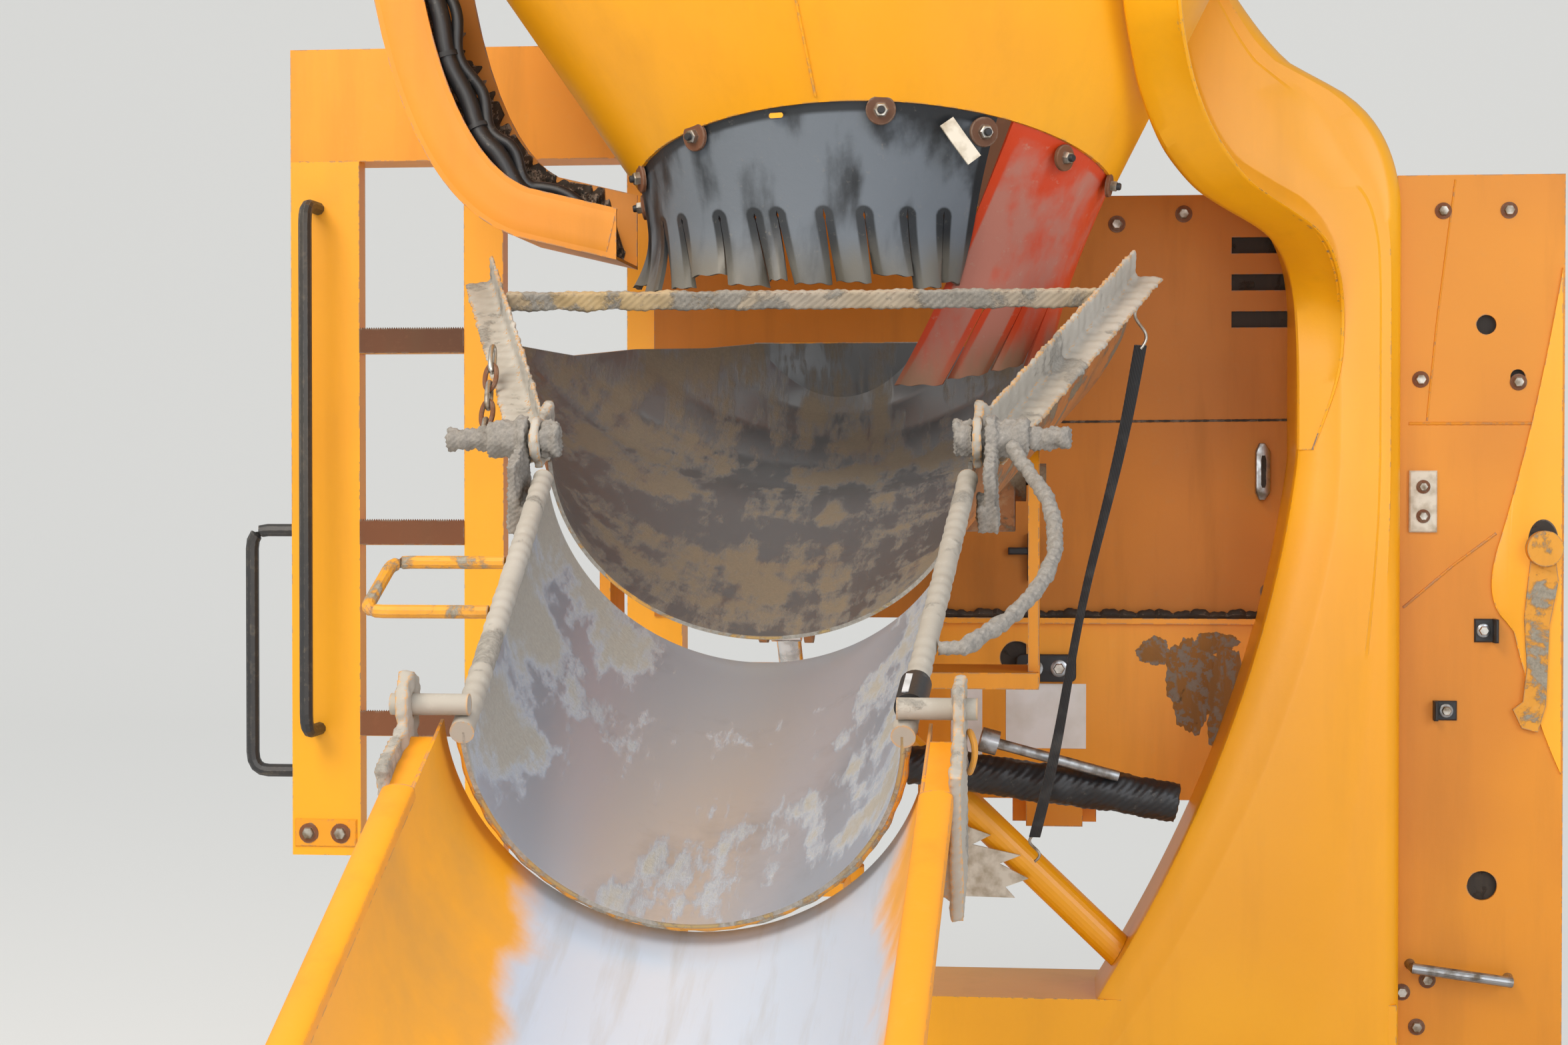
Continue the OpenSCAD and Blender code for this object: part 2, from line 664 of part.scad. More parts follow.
// The cylinder's own frame: z runs from the foot pin to the rod's eye
module in_cylinder() {
    translate([0, foot_y, foot_z]) rotate([90 - cyl_rise, 0, 0]) children();
}
barrel_len = 400;
rod_in = 430;
eye_r = 34;
module cylinder_barrel() {
    color("#5a5f64") in_cylinder() difference() {
        union() {
            cross_pin(-26, 26, 36);
            translate([-26, -30, 0]) cube([52, 60, 60]);
            translate([0, 0, 50]) cylinder(h = barrel_len - 50, r = barrel_r, $fn = 48);
            translate([0, 0, barrel_len - 40]) cylinder(h = 40, r = barrel_r + 6, $fn = 48);
        }
        cross_pin(-60, 60, eye_pin_r + pin_gap);
        translate([0, 0, 62]) cylinder(h = barrel_len, r = rod_r + 0.4, $fn = 48);
    }
}
module cylinder_rod() {
    color("#c8ccd0") in_cylinder() difference() {
        union() {
            translate([0, 0, cyl_len - rod_in]) cylinder(h = rod_in - 20, r = rod_r, $fn = 48);
            translate([0, 0, cyl_len]) cross_pin(-24, 24, eye_r);
        }
        translate([0, 0, cyl_len]) cross_pin(-60, 60, eye_pin_r + 5);
    }
}

// Main trough: a half ellipse section at each station along the slope
// Columns: place up the slope, inner half width, floor depth, top edge below the rims
stations = [
    [20, joint_half_w, joint_half_w - 25, 0],
    [rail_len, head_half_w, 400, 0],
    [rail_len + 90, head_half_w + 15, 425, 140],
    [head_run + 20, head_half_w, 460, 230],
    [head_run + 170, 480, 460, 270],
    [head_run + 260, 350, 440, 300],
    [head_run + 300, 240, 420, 305]];
arc_n = 28;
// Half ellipse from one top edge to the other
function u_arc(s, out) = let (a = s[1] + out, d = s[2] + out, t0 = asin(s[3] / d))
    [for (i = [0:arc_n]) let (t = 180 - t0 - (180 - 2 * t0) * i / arc_n)
        [a * cos(t), s[0], -d * sin(t)]];
function flip(p) = [for (i = [len(p) - 1:-1:0]) p[i]];
module trough_skin(out, fill) {
    m = fill ? arc_n + 1 : 2 * (arc_n + 1);
    points = [for (s = stations) for (p = fill ? u_arc(s, out)
        : concat(u_arc(s, chute_t), flip(u_arc(s, 0)))) p];
    polyhedron(points, fill ? skin_faces(len(stations), m) : sheet_faces(len(stations), arc_n),
               convexity = 8);
}
module main_trough() {
    last = stations[len(stations) - 1];
    color("#8a6a50") in_chute() {
        trough_skin(chute_t, false);
        translate([0, last[0], 0]) rotate([90, 0, 0]) translate([0, 0, -chute_t])
            linear_extrude(chute_t) polygon([for (p = u_arc(last, chute_t)) [p[0], p[2]]]);
    }
}

bolt_head_r = 26;
// Angle rails on the main chute's rims, with the fold hinge lugs at their lower ends
rail_w = 55;
rail_t = 7;
lug_x = joint_half_w + chute_t + 2;
lug_r = 34;
module main_rails() {
    color(yellow) in_chute() both_sides() {
        difference() {
            translate([joint_half_w, 20, 0]) rotate([0, 0, -rail_turn]) {
                cube([rail_w, (rail_len + 10) / cos(rail_turn), rail_t]);
                cube([rail_t, (rail_len + 10) / cos(rail_turn), rail_w]);
            }
            translate([0, 0, hinge_rise]) cross_pin(0, lug_x, bolt_head_r + 2);
        }
        difference() {
            union() {
                translate([0, 0, hinge_rise]) cross_pin(lug_x, lug_x + lug_t, lug_r);
                translate([lug_x, 0, 0]) cube([lug_t, 110, hinge_rise + 20]);
                translate([lug_x, -10, 0]) cube([lug_t, 40, hinge_rise]);
            }
            translate([0, 0, hinge_rise]) cross_pin(lug_x - e, lug_x + lug_t + e,
                                                    hinge_bolt_r);
        }
    }
}

module crossbar() {
    bar_y = 680;
    half = joint_half_w + (tip_x - joint_half_w) * (bar_y - 20) / (rail_len - 20);
    color("#8d8168") in_chute() translate([-half, bar_y, rail_t + 10]) cube([2 * half, 12, 32]);
}

// Pivot plates and saddle ribs under the main chute
module chute_cradle() {
    plate_x = yoke_x - 25;
    color(yellow) difference() {
        union() {
            both_sides() {
                translate([0, slew_y, pivot_z]) cross_pin(plate_x, plate_x + 20, 50);
                translate([plate_x, slew_y - 50, pivot_z]) cube([20, 100, 190]);
                translate([0, slew_y, pivot_z])
                    cross_pin(plate_x + 10, yoke_x + yoke_t + 12, pivot_pin_r);
            }
            translate([-plate_x, slew_y - 50, pivot_z - 105]) cube([2 * plate_x, 12, 200]);
            translate([-plate_x, slew_y + 38, pivot_z - 105]) cube([2 * plate_x, 12, 200]);
        }
        in_chute() trough_skin(chute_t, true);
        in_chute() translate([-600, 200, -200]) cube([1200, 1200, 600]);
    }
}

// Lug under the main chute that holds the rod's eye pin
module lift_lug() {
    color(yellow) in_chute() difference() {
        union() {
            both_sides() {
                translate([0, eye_run, -eye_drop]) cross_pin(30, 44, 36);
                translate([30, eye_run - 36, -eye_drop]) cube([14, 72, 140]);
            }
            translate([0, eye_run, -eye_drop]) cross_pin(-56, 56, eye_pin_r);
        }
        trough_skin(chute_t, true);
    }
}

// Hinge bolts: head inside, shank through lug and ear, thread outside
ear_x0 = lug_x + lug_t + 6.5;
ear_t = 14;
collar_len = 46;
module hinge_bolts() {
    color(steel) in_chute() both_sides() translate([0, 0, hinge_rise]) {
        cross_pin(lug_x, ear_x0 + ear_t + collar_len + 60, hinge_bolt_r);
        cross_pin(lug_x - 26, lug_x, bolt_head_r);
    }
}

// Half round shell along the slope, from y1 at radius r1 down to y0 at radius r0
module half_shell(y1, r1, y0, r0, t) {
    grow = (r0 - r1) / (y1 - y0);
    rotate([90, 0, 0]) difference() {
        translate([0, 0, -y1]) cylinder(h = y1 - y0, r1 = r1 + t, r2 = r0 + t, $fn = 96);
        translate([0, 0, -y1 - 1]) cylinder(h = y1 - y0 + 2, r1 = r1 - grow, r2 = r0 + grow,
                                            $fn = 96);
        translate([-r1 - 50, 0, -y1 - 1]) cube([2 * r1 + 100, r1 + 100, y1 - y0 + 2]);
    }
}

fold_top = -20;
fold_turn = atan((joint_half_w - fold_end_r) / (fold_len + fold_top));
rim_r = 15;
rim_top = fold_top - 25;
// Middle of the fold-over chute's rim bar at a place along the slope
function rim_x(y) = joint_half_w + chute_t / 2 + (y - fold_top) * tan(fold_turn);
module foldover_chute() {
    color(steel) in_chute() {
        half_shell(fold_top, joint_half_w, -fold_len, fold_end_r, chute_t);
        both_sides() translate([rim_x(rim_top), rim_top, 0]) rotate([0, 0, -fold_turn])
            rotate([90, 0, 0])
                cylinder(h = (fold_len + rim_top) / cos(fold_turn), r = rim_r, $fn = 32);
    }
}

// Ears of the fold-over chute, with collars on the hinge bolts
module foldover_ears() {
    color(steel) in_chute() both_sides() difference() {
        union() {
            translate([0, 0, hinge_rise]) cross_pin(ear_x0, ear_x0 + ear_t + collar_len, collar_r);
            translate([0, 0, hinge_rise]) cross_pin(ear_x0, ear_x0 + ear_t, lug_r);
            translate([ear_x0, -110, -60]) cube([ear_t, 110, 60 + hinge_rise]);
            translate([joint_half_w + chute_t + 10, -110, -60]) cube([30, 60, 40]);
        }
        translate([0, 0, hinge_rise]) cross_pin(ear_x0 - 1, ear_x0 + ear_t + collar_len + 1,
                                                hinge_bolt_r + pin_gap);
    }
}

// Gap that keeps a handle's flat end off the tapering rim bar
seat = 0.6;
module left_handle() {
    y0 = -350;
    y1 = -510;
    out = -465;
    color(yellow) in_chute() rod_path(concat([[-rim_x(y0) - rim_r - seat, y0, 0]],
        bend([out + 25, y0, 0], [out, y0, 0], [out, y0 - 25, 0], 4),
        bend([out, y1 + 25, 0], [out, y1, 0], [out + 25, y1, 0], 4),
        [[-rim_x(y1) - rim_r - seat, y1, 0]]), 9);
}

collar_r = 27;
module right_handle() {
    y1 = -610;
    color("#7f7768") in_chute() rod_path(concat(
        [[ear_x0 + ear_t + 24, -collar_r - 2.5, hinge_rise]],
        bend([ear_x0 + ear_t + 30, -60, hinge_rise - 5], [520, -330, -10],
             [rim_x(y1) + rim_r + 30, y1, 0], 12),
        [[rim_x(y1) + rim_r + seat, y1, 0]]), 11);
}

// Stub pins on the fold-over chute's end that carry the extension
stub_y = -fold_len + 18;
stub_r = 13;
stub_z = rim_r + stub_r;
plate_x0 = 322;
plate_t = 14;
module end_hooks() {
    color(yellow) in_chute() both_sides() {
        translate([0, stub_y, stub_z]) cross_pin(fold_end_r - 5, plate_x0 + plate_t + 14, stub_r);
    }
}

ext_top = -fold_len + 35;
flange_w = 38;
flange_start = 175;
module extension_chute() {
    turn = atan((ext_r - ext_end_r) / ext_len);
    color(yellow) in_chute() {
        half_shell(ext_top, ext_r, ext_top - ext_len, ext_end_r, 4);
        both_sides() translate([ext_r, ext_top, -5]) rotate([0, 0, -turn])
            translate([0, -ext_len / cos(turn), 0])
                cube([flange_w, (ext_len - flange_start) / cos(turn), 5]);
    }
}

// Side plates of the extension that hook over the stub pins
module hook_plates() {
    color("#b0a890") in_chute() both_sides() difference() {
        union() {
            translate([plate_x0, stub_y - 150, -170]) cube([plate_t, 160, 190]);
            translate([0, stub_y, stub_z]) cross_pin(plate_x0, plate_x0 + plate_t, 40);
            translate([ext_r + 5, stub_y - 130, -150]) cube([30, 110, 60]);
        }
        translate([0, stub_y, stub_z]) cross_pin(plate_x0 - e, plate_x0 + plate_t + e,
                                                 stub_r + pin_gap);
        rotate([90, 0, 0]) translate([0, 0, -ext_top]) cylinder(h = ext_len, r1 = ext_r + 4,
            r2 = ext_end_r + 4, $fn = 96);
    }
}

mount_plates();
left_post();
right_post();
bumper_beam();
top_beam();
slew_arm();
side_column();
side_plate();
rear_panel();
lower_panel();
ladder_arm();
ladder();
grab_rails();
left_gutter();
right_arm();
funnel();
funnel_arms();
front_boot();
brace();
hose_sleeve();
control_lever();
drip_flap();
side_latch();
step_bar();
panel_fittings();
side_boot();
swivel_post();
swivel_yoke();
cylinder_foot();
cylinder_barrel();
cylinder_rod();
main_trough();
main_rails();
chute_cradle();
lift_lug();
crossbar();
hinge_bolts();
foldover_chute();
foldover_ears();
left_handle();
right_handle();
end_hooks();
extension_chute();
hook_plates();
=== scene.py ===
"""Looks of a concrete mixer's rear discharge unit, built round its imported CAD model."""
import math

import bpy
import numpy as np
from bpy.props import BoolProperty, FloatProperty, FloatVectorProperty, PointerProperty
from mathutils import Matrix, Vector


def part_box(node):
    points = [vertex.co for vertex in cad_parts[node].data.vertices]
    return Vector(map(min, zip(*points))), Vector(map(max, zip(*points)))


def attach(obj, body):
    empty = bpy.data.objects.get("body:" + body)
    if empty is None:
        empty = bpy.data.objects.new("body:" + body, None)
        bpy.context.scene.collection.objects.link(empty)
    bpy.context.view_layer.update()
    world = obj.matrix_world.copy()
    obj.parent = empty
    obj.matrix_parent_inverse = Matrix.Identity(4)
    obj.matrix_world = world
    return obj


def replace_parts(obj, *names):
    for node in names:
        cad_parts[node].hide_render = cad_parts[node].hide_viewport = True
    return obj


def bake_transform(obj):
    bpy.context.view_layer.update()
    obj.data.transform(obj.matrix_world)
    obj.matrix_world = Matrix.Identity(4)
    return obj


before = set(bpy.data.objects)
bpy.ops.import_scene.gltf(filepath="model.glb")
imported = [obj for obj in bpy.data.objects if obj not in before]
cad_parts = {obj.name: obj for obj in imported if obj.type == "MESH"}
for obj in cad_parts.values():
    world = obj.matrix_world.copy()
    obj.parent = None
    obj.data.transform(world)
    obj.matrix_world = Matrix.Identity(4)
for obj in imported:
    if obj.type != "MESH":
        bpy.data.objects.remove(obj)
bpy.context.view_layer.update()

bl_info = {
    "name": "Mixer Discharge Unit",
    "version": (1, 0, 0),
    "blender": (4, 5, 0),
    "location": "View3D > Sidebar > Discharge Unit",
    "description": "Adds the finish and fittings of a concrete mixer's rear discharge unit",
    "category": "Add Mesh",
}

# Places taken from the CAD source, in metres
SLEW_Y = -0.850
SLOPE = math.radians(22)
HINGE_Y = SLEW_Y - 1.132 * math.cos(SLOPE)
HINGE_Z = 1.024 - 1.132 * math.sin(SLOPE)
FUNNEL_TOP_W, FUNNEL_TOP_R, FUNNEL_LOW_R, FUNNEL_LOW_D = 0.820, 0.690, 0.440, 0.345
FUNNEL_SHIFT, FUNNEL_TOP_SHIFT, FUNNEL_TOP_Z, FUNNEL_LOW_Z = 0.100, 0.040, 1.750, 1.117
FUNNEL_ARCH = 0.110
BOOT_R, BOOT_LOW_Z = 0.318, 0.916
COLUMN_FRONT, COLUMN_X, COLUMN_IN, FOOT_Z, POST_TOP = -0.356, 1.126, 0.916, -0.620, 1.650


def srgb(code):
    """Turns an sRGB hex colour to linear: each channel is raised by the standard's curve."""
    v = np.array([int(code[i:i + 2], 16) for i in (1, 3, 5)]) / 255
    v = np.where(v <= 0.04045, v / 12.92, ((v + 0.055) / 1.055) ** 2.4)
    return (*v.tolist(), 1.0)


# Inputs by number: Mix has its share at 0 and its colours at 6 and 7, and Map Range its value at
# 0, the limits that it reads at 1 and 2 and those that it gives at 3 and 4.
def add_node(tree, kind, inputs=(), **settings):
    """Adds a node with its settings, and its inputs as links or values; returns its outputs."""
    made = tree.nodes.new(kind)
    for key, value in settings.items():
        setattr(made, key, value)
    for key, value in dict(inputs).items():
        if isinstance(value, bpy.types.NodeSocket):
            tree.links.new(value, made.inputs[key])
        else:
            made.inputs[key].default_value = value
    return made.outputs


def new_material(name):
    """Makes an empty material; returns the material, its tree and Object coordinates."""
    made = bpy.data.materials.new(name)
    made.use_nodes = True
    tree = made.node_tree
    tree.nodes.clear()
    return made, tree, add_node(tree, "ShaderNodeTexCoord")["Object"]


def finish_material(tree, inputs, **settings):
    """Adds the shader with its inputs and the material output."""
    shader = add_node(tree, "ShaderNodeBsdfPrincipled", inputs, **settings)
    add_node(tree, "ShaderNodeOutputMaterial", {"Surface": shader[0]})


def coated_steel(name, coat, coat_2, under="#6d4a30", rough=0.4, metallic=0.0, chips=0.3,
                 dirt=0.3, dirt_hex="#5d4a33", dust_hex="#c9b48a", crust=0.0,
                 crust_hex="#a39a88", crust_scale=11.0, gloss=0.25, streak=(9.0, 9.0, 1.1)):
    """Enamel or bare steel that carries fading, run-off streaks, chipped edges and dried cement.

    Each scale is one over a size in metres. The coat fades over 770 mm, streaks are 110 mm wide
    and 900 mm long, and specks of dust 22 mm. Chips follow the edges, found by the turn of the
    normal over 5 mm, and broken up by the specks. Cement sits in patches of 90 mm, or of one over
    crust_scale, with a grain of 6 mm, coarser than the real one so that it shows.
    """
    made, tree, at = new_material(name)
    broad = add_node(tree, "ShaderNodeTexNoise", {"Vector": at, "Scale": 1.3, "Detail": 3.0})
    fade = add_node(tree, "ShaderNodeMapRange", {0: broad[0], 1: 0.36, 2: 0.64},
                    interpolation_type="SMOOTHSTEP")
    colour = add_node(tree, "ShaderNodeMix", {0: fade[0], 6: srgb(coat), 7: srgb(coat_2)},
                      data_type="RGBA")[2]
    runs_at = add_node(tree, "ShaderNodeMapping", {"Vector": at, "Scale": streak})
    runs = add_node(tree, "ShaderNodeTexNoise", {"Vector": runs_at[0], "Scale": 1.0, "Detail": 7.0,
                                                 "Roughness": 0.62})
    run_mask = add_node(tree, "ShaderNodeMapRange", {0: runs[0], 1: 0.50, 2: 0.82, 4: dirt})
    colour = add_node(tree, "ShaderNodeMix", {0: run_mask[0], 6: colour, 7: srgb(dirt_hex)},
                      data_type="RGBA")[2]
    speck = add_node(tree, "ShaderNodeTexNoise", {"Vector": at, "Scale": 46.0, "Detail": 9.0,
                                                  "Roughness": 0.7})
    dust = add_node(tree, "ShaderNodeMapRange", {0: speck[0], 1: 0.55, 2: 0.80, 4: dirt * 0.55})
    colour = add_node(tree, "ShaderNodeMix", {0: dust[0], 6: colour, 7: srgb(dust_hex)},
                      data_type="RGBA")[2]
    # Chips: the bevelled normal leaves the true one near an edge
    round_off = add_node(tree, "ShaderNodeBevel", {"Radius": 0.005}, samples=4)
    true = add_node(tree, "ShaderNodeNewGeometry")["True Normal"]
    turn = add_node(tree, "ShaderNodeVectorMath", {0: round_off[0], 1: true},
                    operation="DOT_PRODUCT")["Value"]
    edge = add_node(tree, "ShaderNodeMapRange", {0: turn, 1: 0.995, 2: 0.90})
    broken = add_node(tree, "ShaderNodeMath", {0: edge[0], 1: speck[0]}, operation="MULTIPLY")
    sparse = add_node(tree, "ShaderNodeMath", {0: speck[0], 1: broad[0]}, operation="MULTIPLY")
    chip_sum = add_node(tree, "ShaderNodeMath", {0: broken[0], 1: sparse[0]}, operation="ADD")
    chip = add_node(tree, "ShaderNodeMapRange", {0: chip_sum[0], 1: 0.86 - 0.42 * chips,
                                                 2: 0.90 - 0.42 * chips},
                    interpolation_type="SMOOTHSTEP")
    chip_colour = add_node(tree, "ShaderNodeMix", {0: speck[0], 6: srgb(under), 7: srgb("#8f8577")},
                           data_type="RGBA")[2]
    colour = add_node(tree, "ShaderNodeMix", {0: chip[0], 6: colour, 7: chip_colour},
                      data_type="RGBA")[2]
    # Cement: patches with a coarse edge, then grain
    patch = add_node(tree, "ShaderNodeTexNoise",
                     {"Vector": at, "Scale": crust_scale, "Detail": 12.0, "Roughness": 0.66,
                      "Distortion": 0.3})
    low = 0.78 - 0.56 * crust
    cover = add_node(tree, "ShaderNodeMapRange", {0: patch[0], 1: low, 2: low + 0.07},
                     interpolation_type="SMOOTHSTEP")
    grain = add_node(tree, "ShaderNodeTexNoise", {"Vector": at, "Scale": 170.0, "Detail": 6.0,
                                                  "Roughness": 0.7})
    grain_far = add_node(tree, "ShaderNodeMapRange", {0: grain[0], 1: 0.3, 2: 0.7})
    dark = tuple(c * 0.55 for c in srgb(crust_hex)[:3]) + (1.0,)
    cement = add_node(tree, "ShaderNodeMix", {0: grain_far[0], 6: dark, 7: srgb(crust_hex)},
                      data_type="RGBA")[2]
    if crust > 0:
        colour = add_node(tree, "ShaderNodeMix", {0: cover[0], 6: colour, 7: cement},
                          data_type="RGBA")[2]
        rough_in = add_node(tree, "ShaderNodeMapRange", {0: cover[0], 3: rough, 4: 0.92})[0]
    else:
        rough_in = add_node(tree, "ShaderNodeMapRange",
                            {0: run_mask[0], 3: rough, 4: rough + 0.3})[0]
    body = add_node(tree, "ShaderNodeMath", {0: grain[0], 1: 0.35}, operation="MULTIPLY")
    raised = add_node(tree, "ShaderNodeMath", {0: body[0], 1: 1.0}, operation="ADD")
    height = add_node(tree, "ShaderNodeMath", {0: raised[0], 1: cover[0]}, operation="MULTIPLY")
    dent = add_node(tree, "ShaderNodeMath", {0: broad[0], 1: 0.9}, operation="MULTIPLY")
    total = add_node(tree, "ShaderNodeMath", {0: dent[0], 1: height[0] if crust > 0 else speck[0]},
                     operation="ADD")
    bump = add_node(tree, "ShaderNodeBump",
                    {"Height": total[0], "Distance": 0.004 if crust > 0 else 0.0007,
                     "Strength": 0.55})
    inputs = {"Base Color": colour, "Roughness": rough_in, "Normal": bump[0], "Coat Weight": gloss,
              "Coat Roughness": 0.25}
    if metallic:
        bare = add_node(tree, "ShaderNodeMapRange", {0: cover[0], 3: metallic, 4: 0.0})
        inputs["Metallic"] = bare[0]
    finish_material(tree, inputs)
    return made


def boot_rubber(name, base, bloom, bloom_amount=0.5, scuff="#8d8577", rough=0.42, tips="#8f897a"):
    """Moulded rubber sheet: a dark face with pale cement bloom in soft clouds and fine pits.

    The mesh may carry two values: edge is 0 at a cut and 1 away from it, where the bloom stays,
    and tip grows to 1 at a finger's end, which is dusty. Both are 0 on a mesh without them. The
    clouds are 310 mm wide, the run-off 77 mm wide and 380 mm long, and the scuffed spots 17 mm.
    """
    made, tree, at = new_material(name)
    cloud = add_node(tree, "ShaderNodeTexNoise", {"Vector": at, "Scale": 3.2, "Detail": 10.0,
                                                  "Roughness": 0.58, "Distortion": 0.3})
    runs_at = add_node(tree, "ShaderNodeMapping", {"Vector": at, "Scale": (13.0, 13.0, 2.6)})
    runs = add_node(tree, "ShaderNodeTexNoise", {"Vector": runs_at[0], "Scale": 1.0, "Detail": 6.0})
    edge = add_node(tree, "ShaderNodeAttribute", attribute_name="edge")["Fac"]
    tip = add_node(tree, "ShaderNodeAttribute", attribute_name="tip")["Fac"]
    both = add_node(tree, "ShaderNodeMath", {0: cloud[0], 1: runs[0]}, operation="MULTIPLY")
    lifted = add_node(tree, "ShaderNodeMath", {0: edge, 1: 0.04, 2: both[0]},
                      operation="MULTIPLY_ADD")
    mask = add_node(tree, "ShaderNodeMapRange", {0: lifted[0], 1: 0.20, 2: 0.35, 4: bloom_amount},
                    interpolation_type="SMOOTHSTEP")
    kept = add_node(tree, "ShaderNodeMapRange", {0: edge, 1: 0.52, 2: 0.72, 3: 0.04, 4: 1.0},
                    interpolation_type="SMOOTHSTEP")
    mask = add_node(tree, "ShaderNodeMath", {0: mask[0], 1: kept[0]}, operation="MULTIPLY")
    colour = add_node(tree, "ShaderNodeMix", {0: mask[0], 6: srgb(base), 7: srgb(bloom)},
                      data_type="RGBA")[2]
    speck = add_node(tree, "ShaderNodeTexNoise", {"Vector": at, "Scale": 60.0, "Detail": 8.0,
                                                  "Roughness": 0.7})
    spots = add_node(tree, "ShaderNodeMapRange", {0: speck[0], 1: 0.60, 2: 0.72, 4: 0.35})
    colour = add_node(tree, "ShaderNodeMix", {0: spots[0], 6: colour, 7: srgb(scuff)},
                      data_type="RGBA")[2]
    dusty = add_node(tree, "ShaderNodeMath", {0: tip, 1: runs[0]}, operation="MULTIPLY")
    dust = add_node(tree, "ShaderNodeMapRange", {0: dusty[0], 1: 0.10, 2: 0.55, 4: 0.85},
                    interpolation_type="SMOOTHSTEP")
    colour = add_node(tree, "ShaderNodeMix", {0: dust[0], 6: colour, 7: srgb(tips)},
                      data_type="RGBA")[2]
    rough_in = add_node(tree, "ShaderNodeMapRange", {0: mask[0], 3: rough, 4: 0.8})
    bump = add_node(tree, "ShaderNodeBump",
                    {"Height": speck[0], "Distance": 0.0012, "Strength": 0.5})
    finish_material(tree, {"Base Color": colour, "Roughness": rough_in[0], "Normal": bump[0]})
    return made


def scoured_trough(name, steel, film, rust, film_amount=0.5, grain=(26.0, 5.0, 5.0), rough=0.34,
                   sides=0.0):
    """Steel scoured bright by use, with a dried film in streaks down the slope and rust bloom.

    Sides adds film where the chute's wall stands more than about 0.2 m from its middle. Streaks
    are 38 mm wide and 200 mm long, rust blooms over 220 mm, and the film has a grain of 7 mm.
    """
    made, tree, at = new_material(name)
    turned = add_node(tree, "ShaderNodeMapping", {"Vector": at, "Rotation": (-SLOPE, 0.0, 0.0),
                                                  "Scale": grain})
    streaks = add_node(tree, "ShaderNodeTexNoise",
                       {"Vector": turned[0], "Scale": 1.0, "Detail": 10.0, "Roughness": 0.66})
    cloud = add_node(tree, "ShaderNodeTexNoise", {"Vector": at, "Scale": 4.5, "Detail": 8.0,
                                                  "Roughness": 0.6})
    both = add_node(tree, "ShaderNodeMath", {0: streaks[0], 1: cloud[0]}, operation="ADD")
    place = add_node(tree, "ShaderNodeSeparateXYZ", {0: at})
    off = add_node(tree, "ShaderNodeMath", {0: place["X"]}, operation="ABSOLUTE")
    wall = add_node(tree, "ShaderNodeMapRange", {0: off[0], 1: 0.15, 2: 0.27, 4: sides})
    both = add_node(tree, "ShaderNodeMath", {0: both[0], 1: wall[0]}, operation="ADD")
    low = 1.30 - 0.60 * film_amount
    mask = add_node(tree, "ShaderNodeMapRange", {0: both[0], 1: low, 2: low + 0.22},
                    interpolation_type="SMOOTHSTEP")
    rust_mask = add_node(tree, "ShaderNodeMapRange", {0: cloud[0], 1: 0.52, 2: 0.72, 4: 0.7})
    steel_in = add_node(tree, "ShaderNodeMix", {0: rust_mask[0], 6: srgb(steel), 7: srgb(rust)},
                        data_type="RGBA")[2]
    grit = add_node(tree, "ShaderNodeTexNoise", {"Vector": at, "Scale": 150.0, "Detail": 6.0,
                                                 "Roughness": 0.7})
    dark = tuple(c * 0.6 for c in srgb(film)[:3]) + (1.0,)
    film_in = add_node(tree, "ShaderNodeMix", {0: grit[0], 6: dark, 7: srgb(film)},
                       data_type="RGBA")[2]
    colour = add_node(tree, "ShaderNodeMix", {0: mask[0], 6: steel_in, 7: film_in},
                      data_type="RGBA")[2]
    rough_in = add_node(tree, "ShaderNodeMapRange", {0: mask[0], 3: rough, 4: 0.9})
    metal_in = add_node(tree, "ShaderNodeMapRange", {0: mask[0], 3: 0.75, 4: 0.0})
    high = add_node(tree, "ShaderNodeMath", {0: grit[0], 1: mask[0]}, operation="MULTIPLY")
    bump = add_node(tree, "ShaderNodeBump", {"Height": high[0], "Distance": 0.003, "Strength": 0.6})
    finish_material(tree, {"Base Color": colour, "Roughness": rough_in[0], "Metallic": metal_in[0],
                           "Normal": bump[0]})
    return made


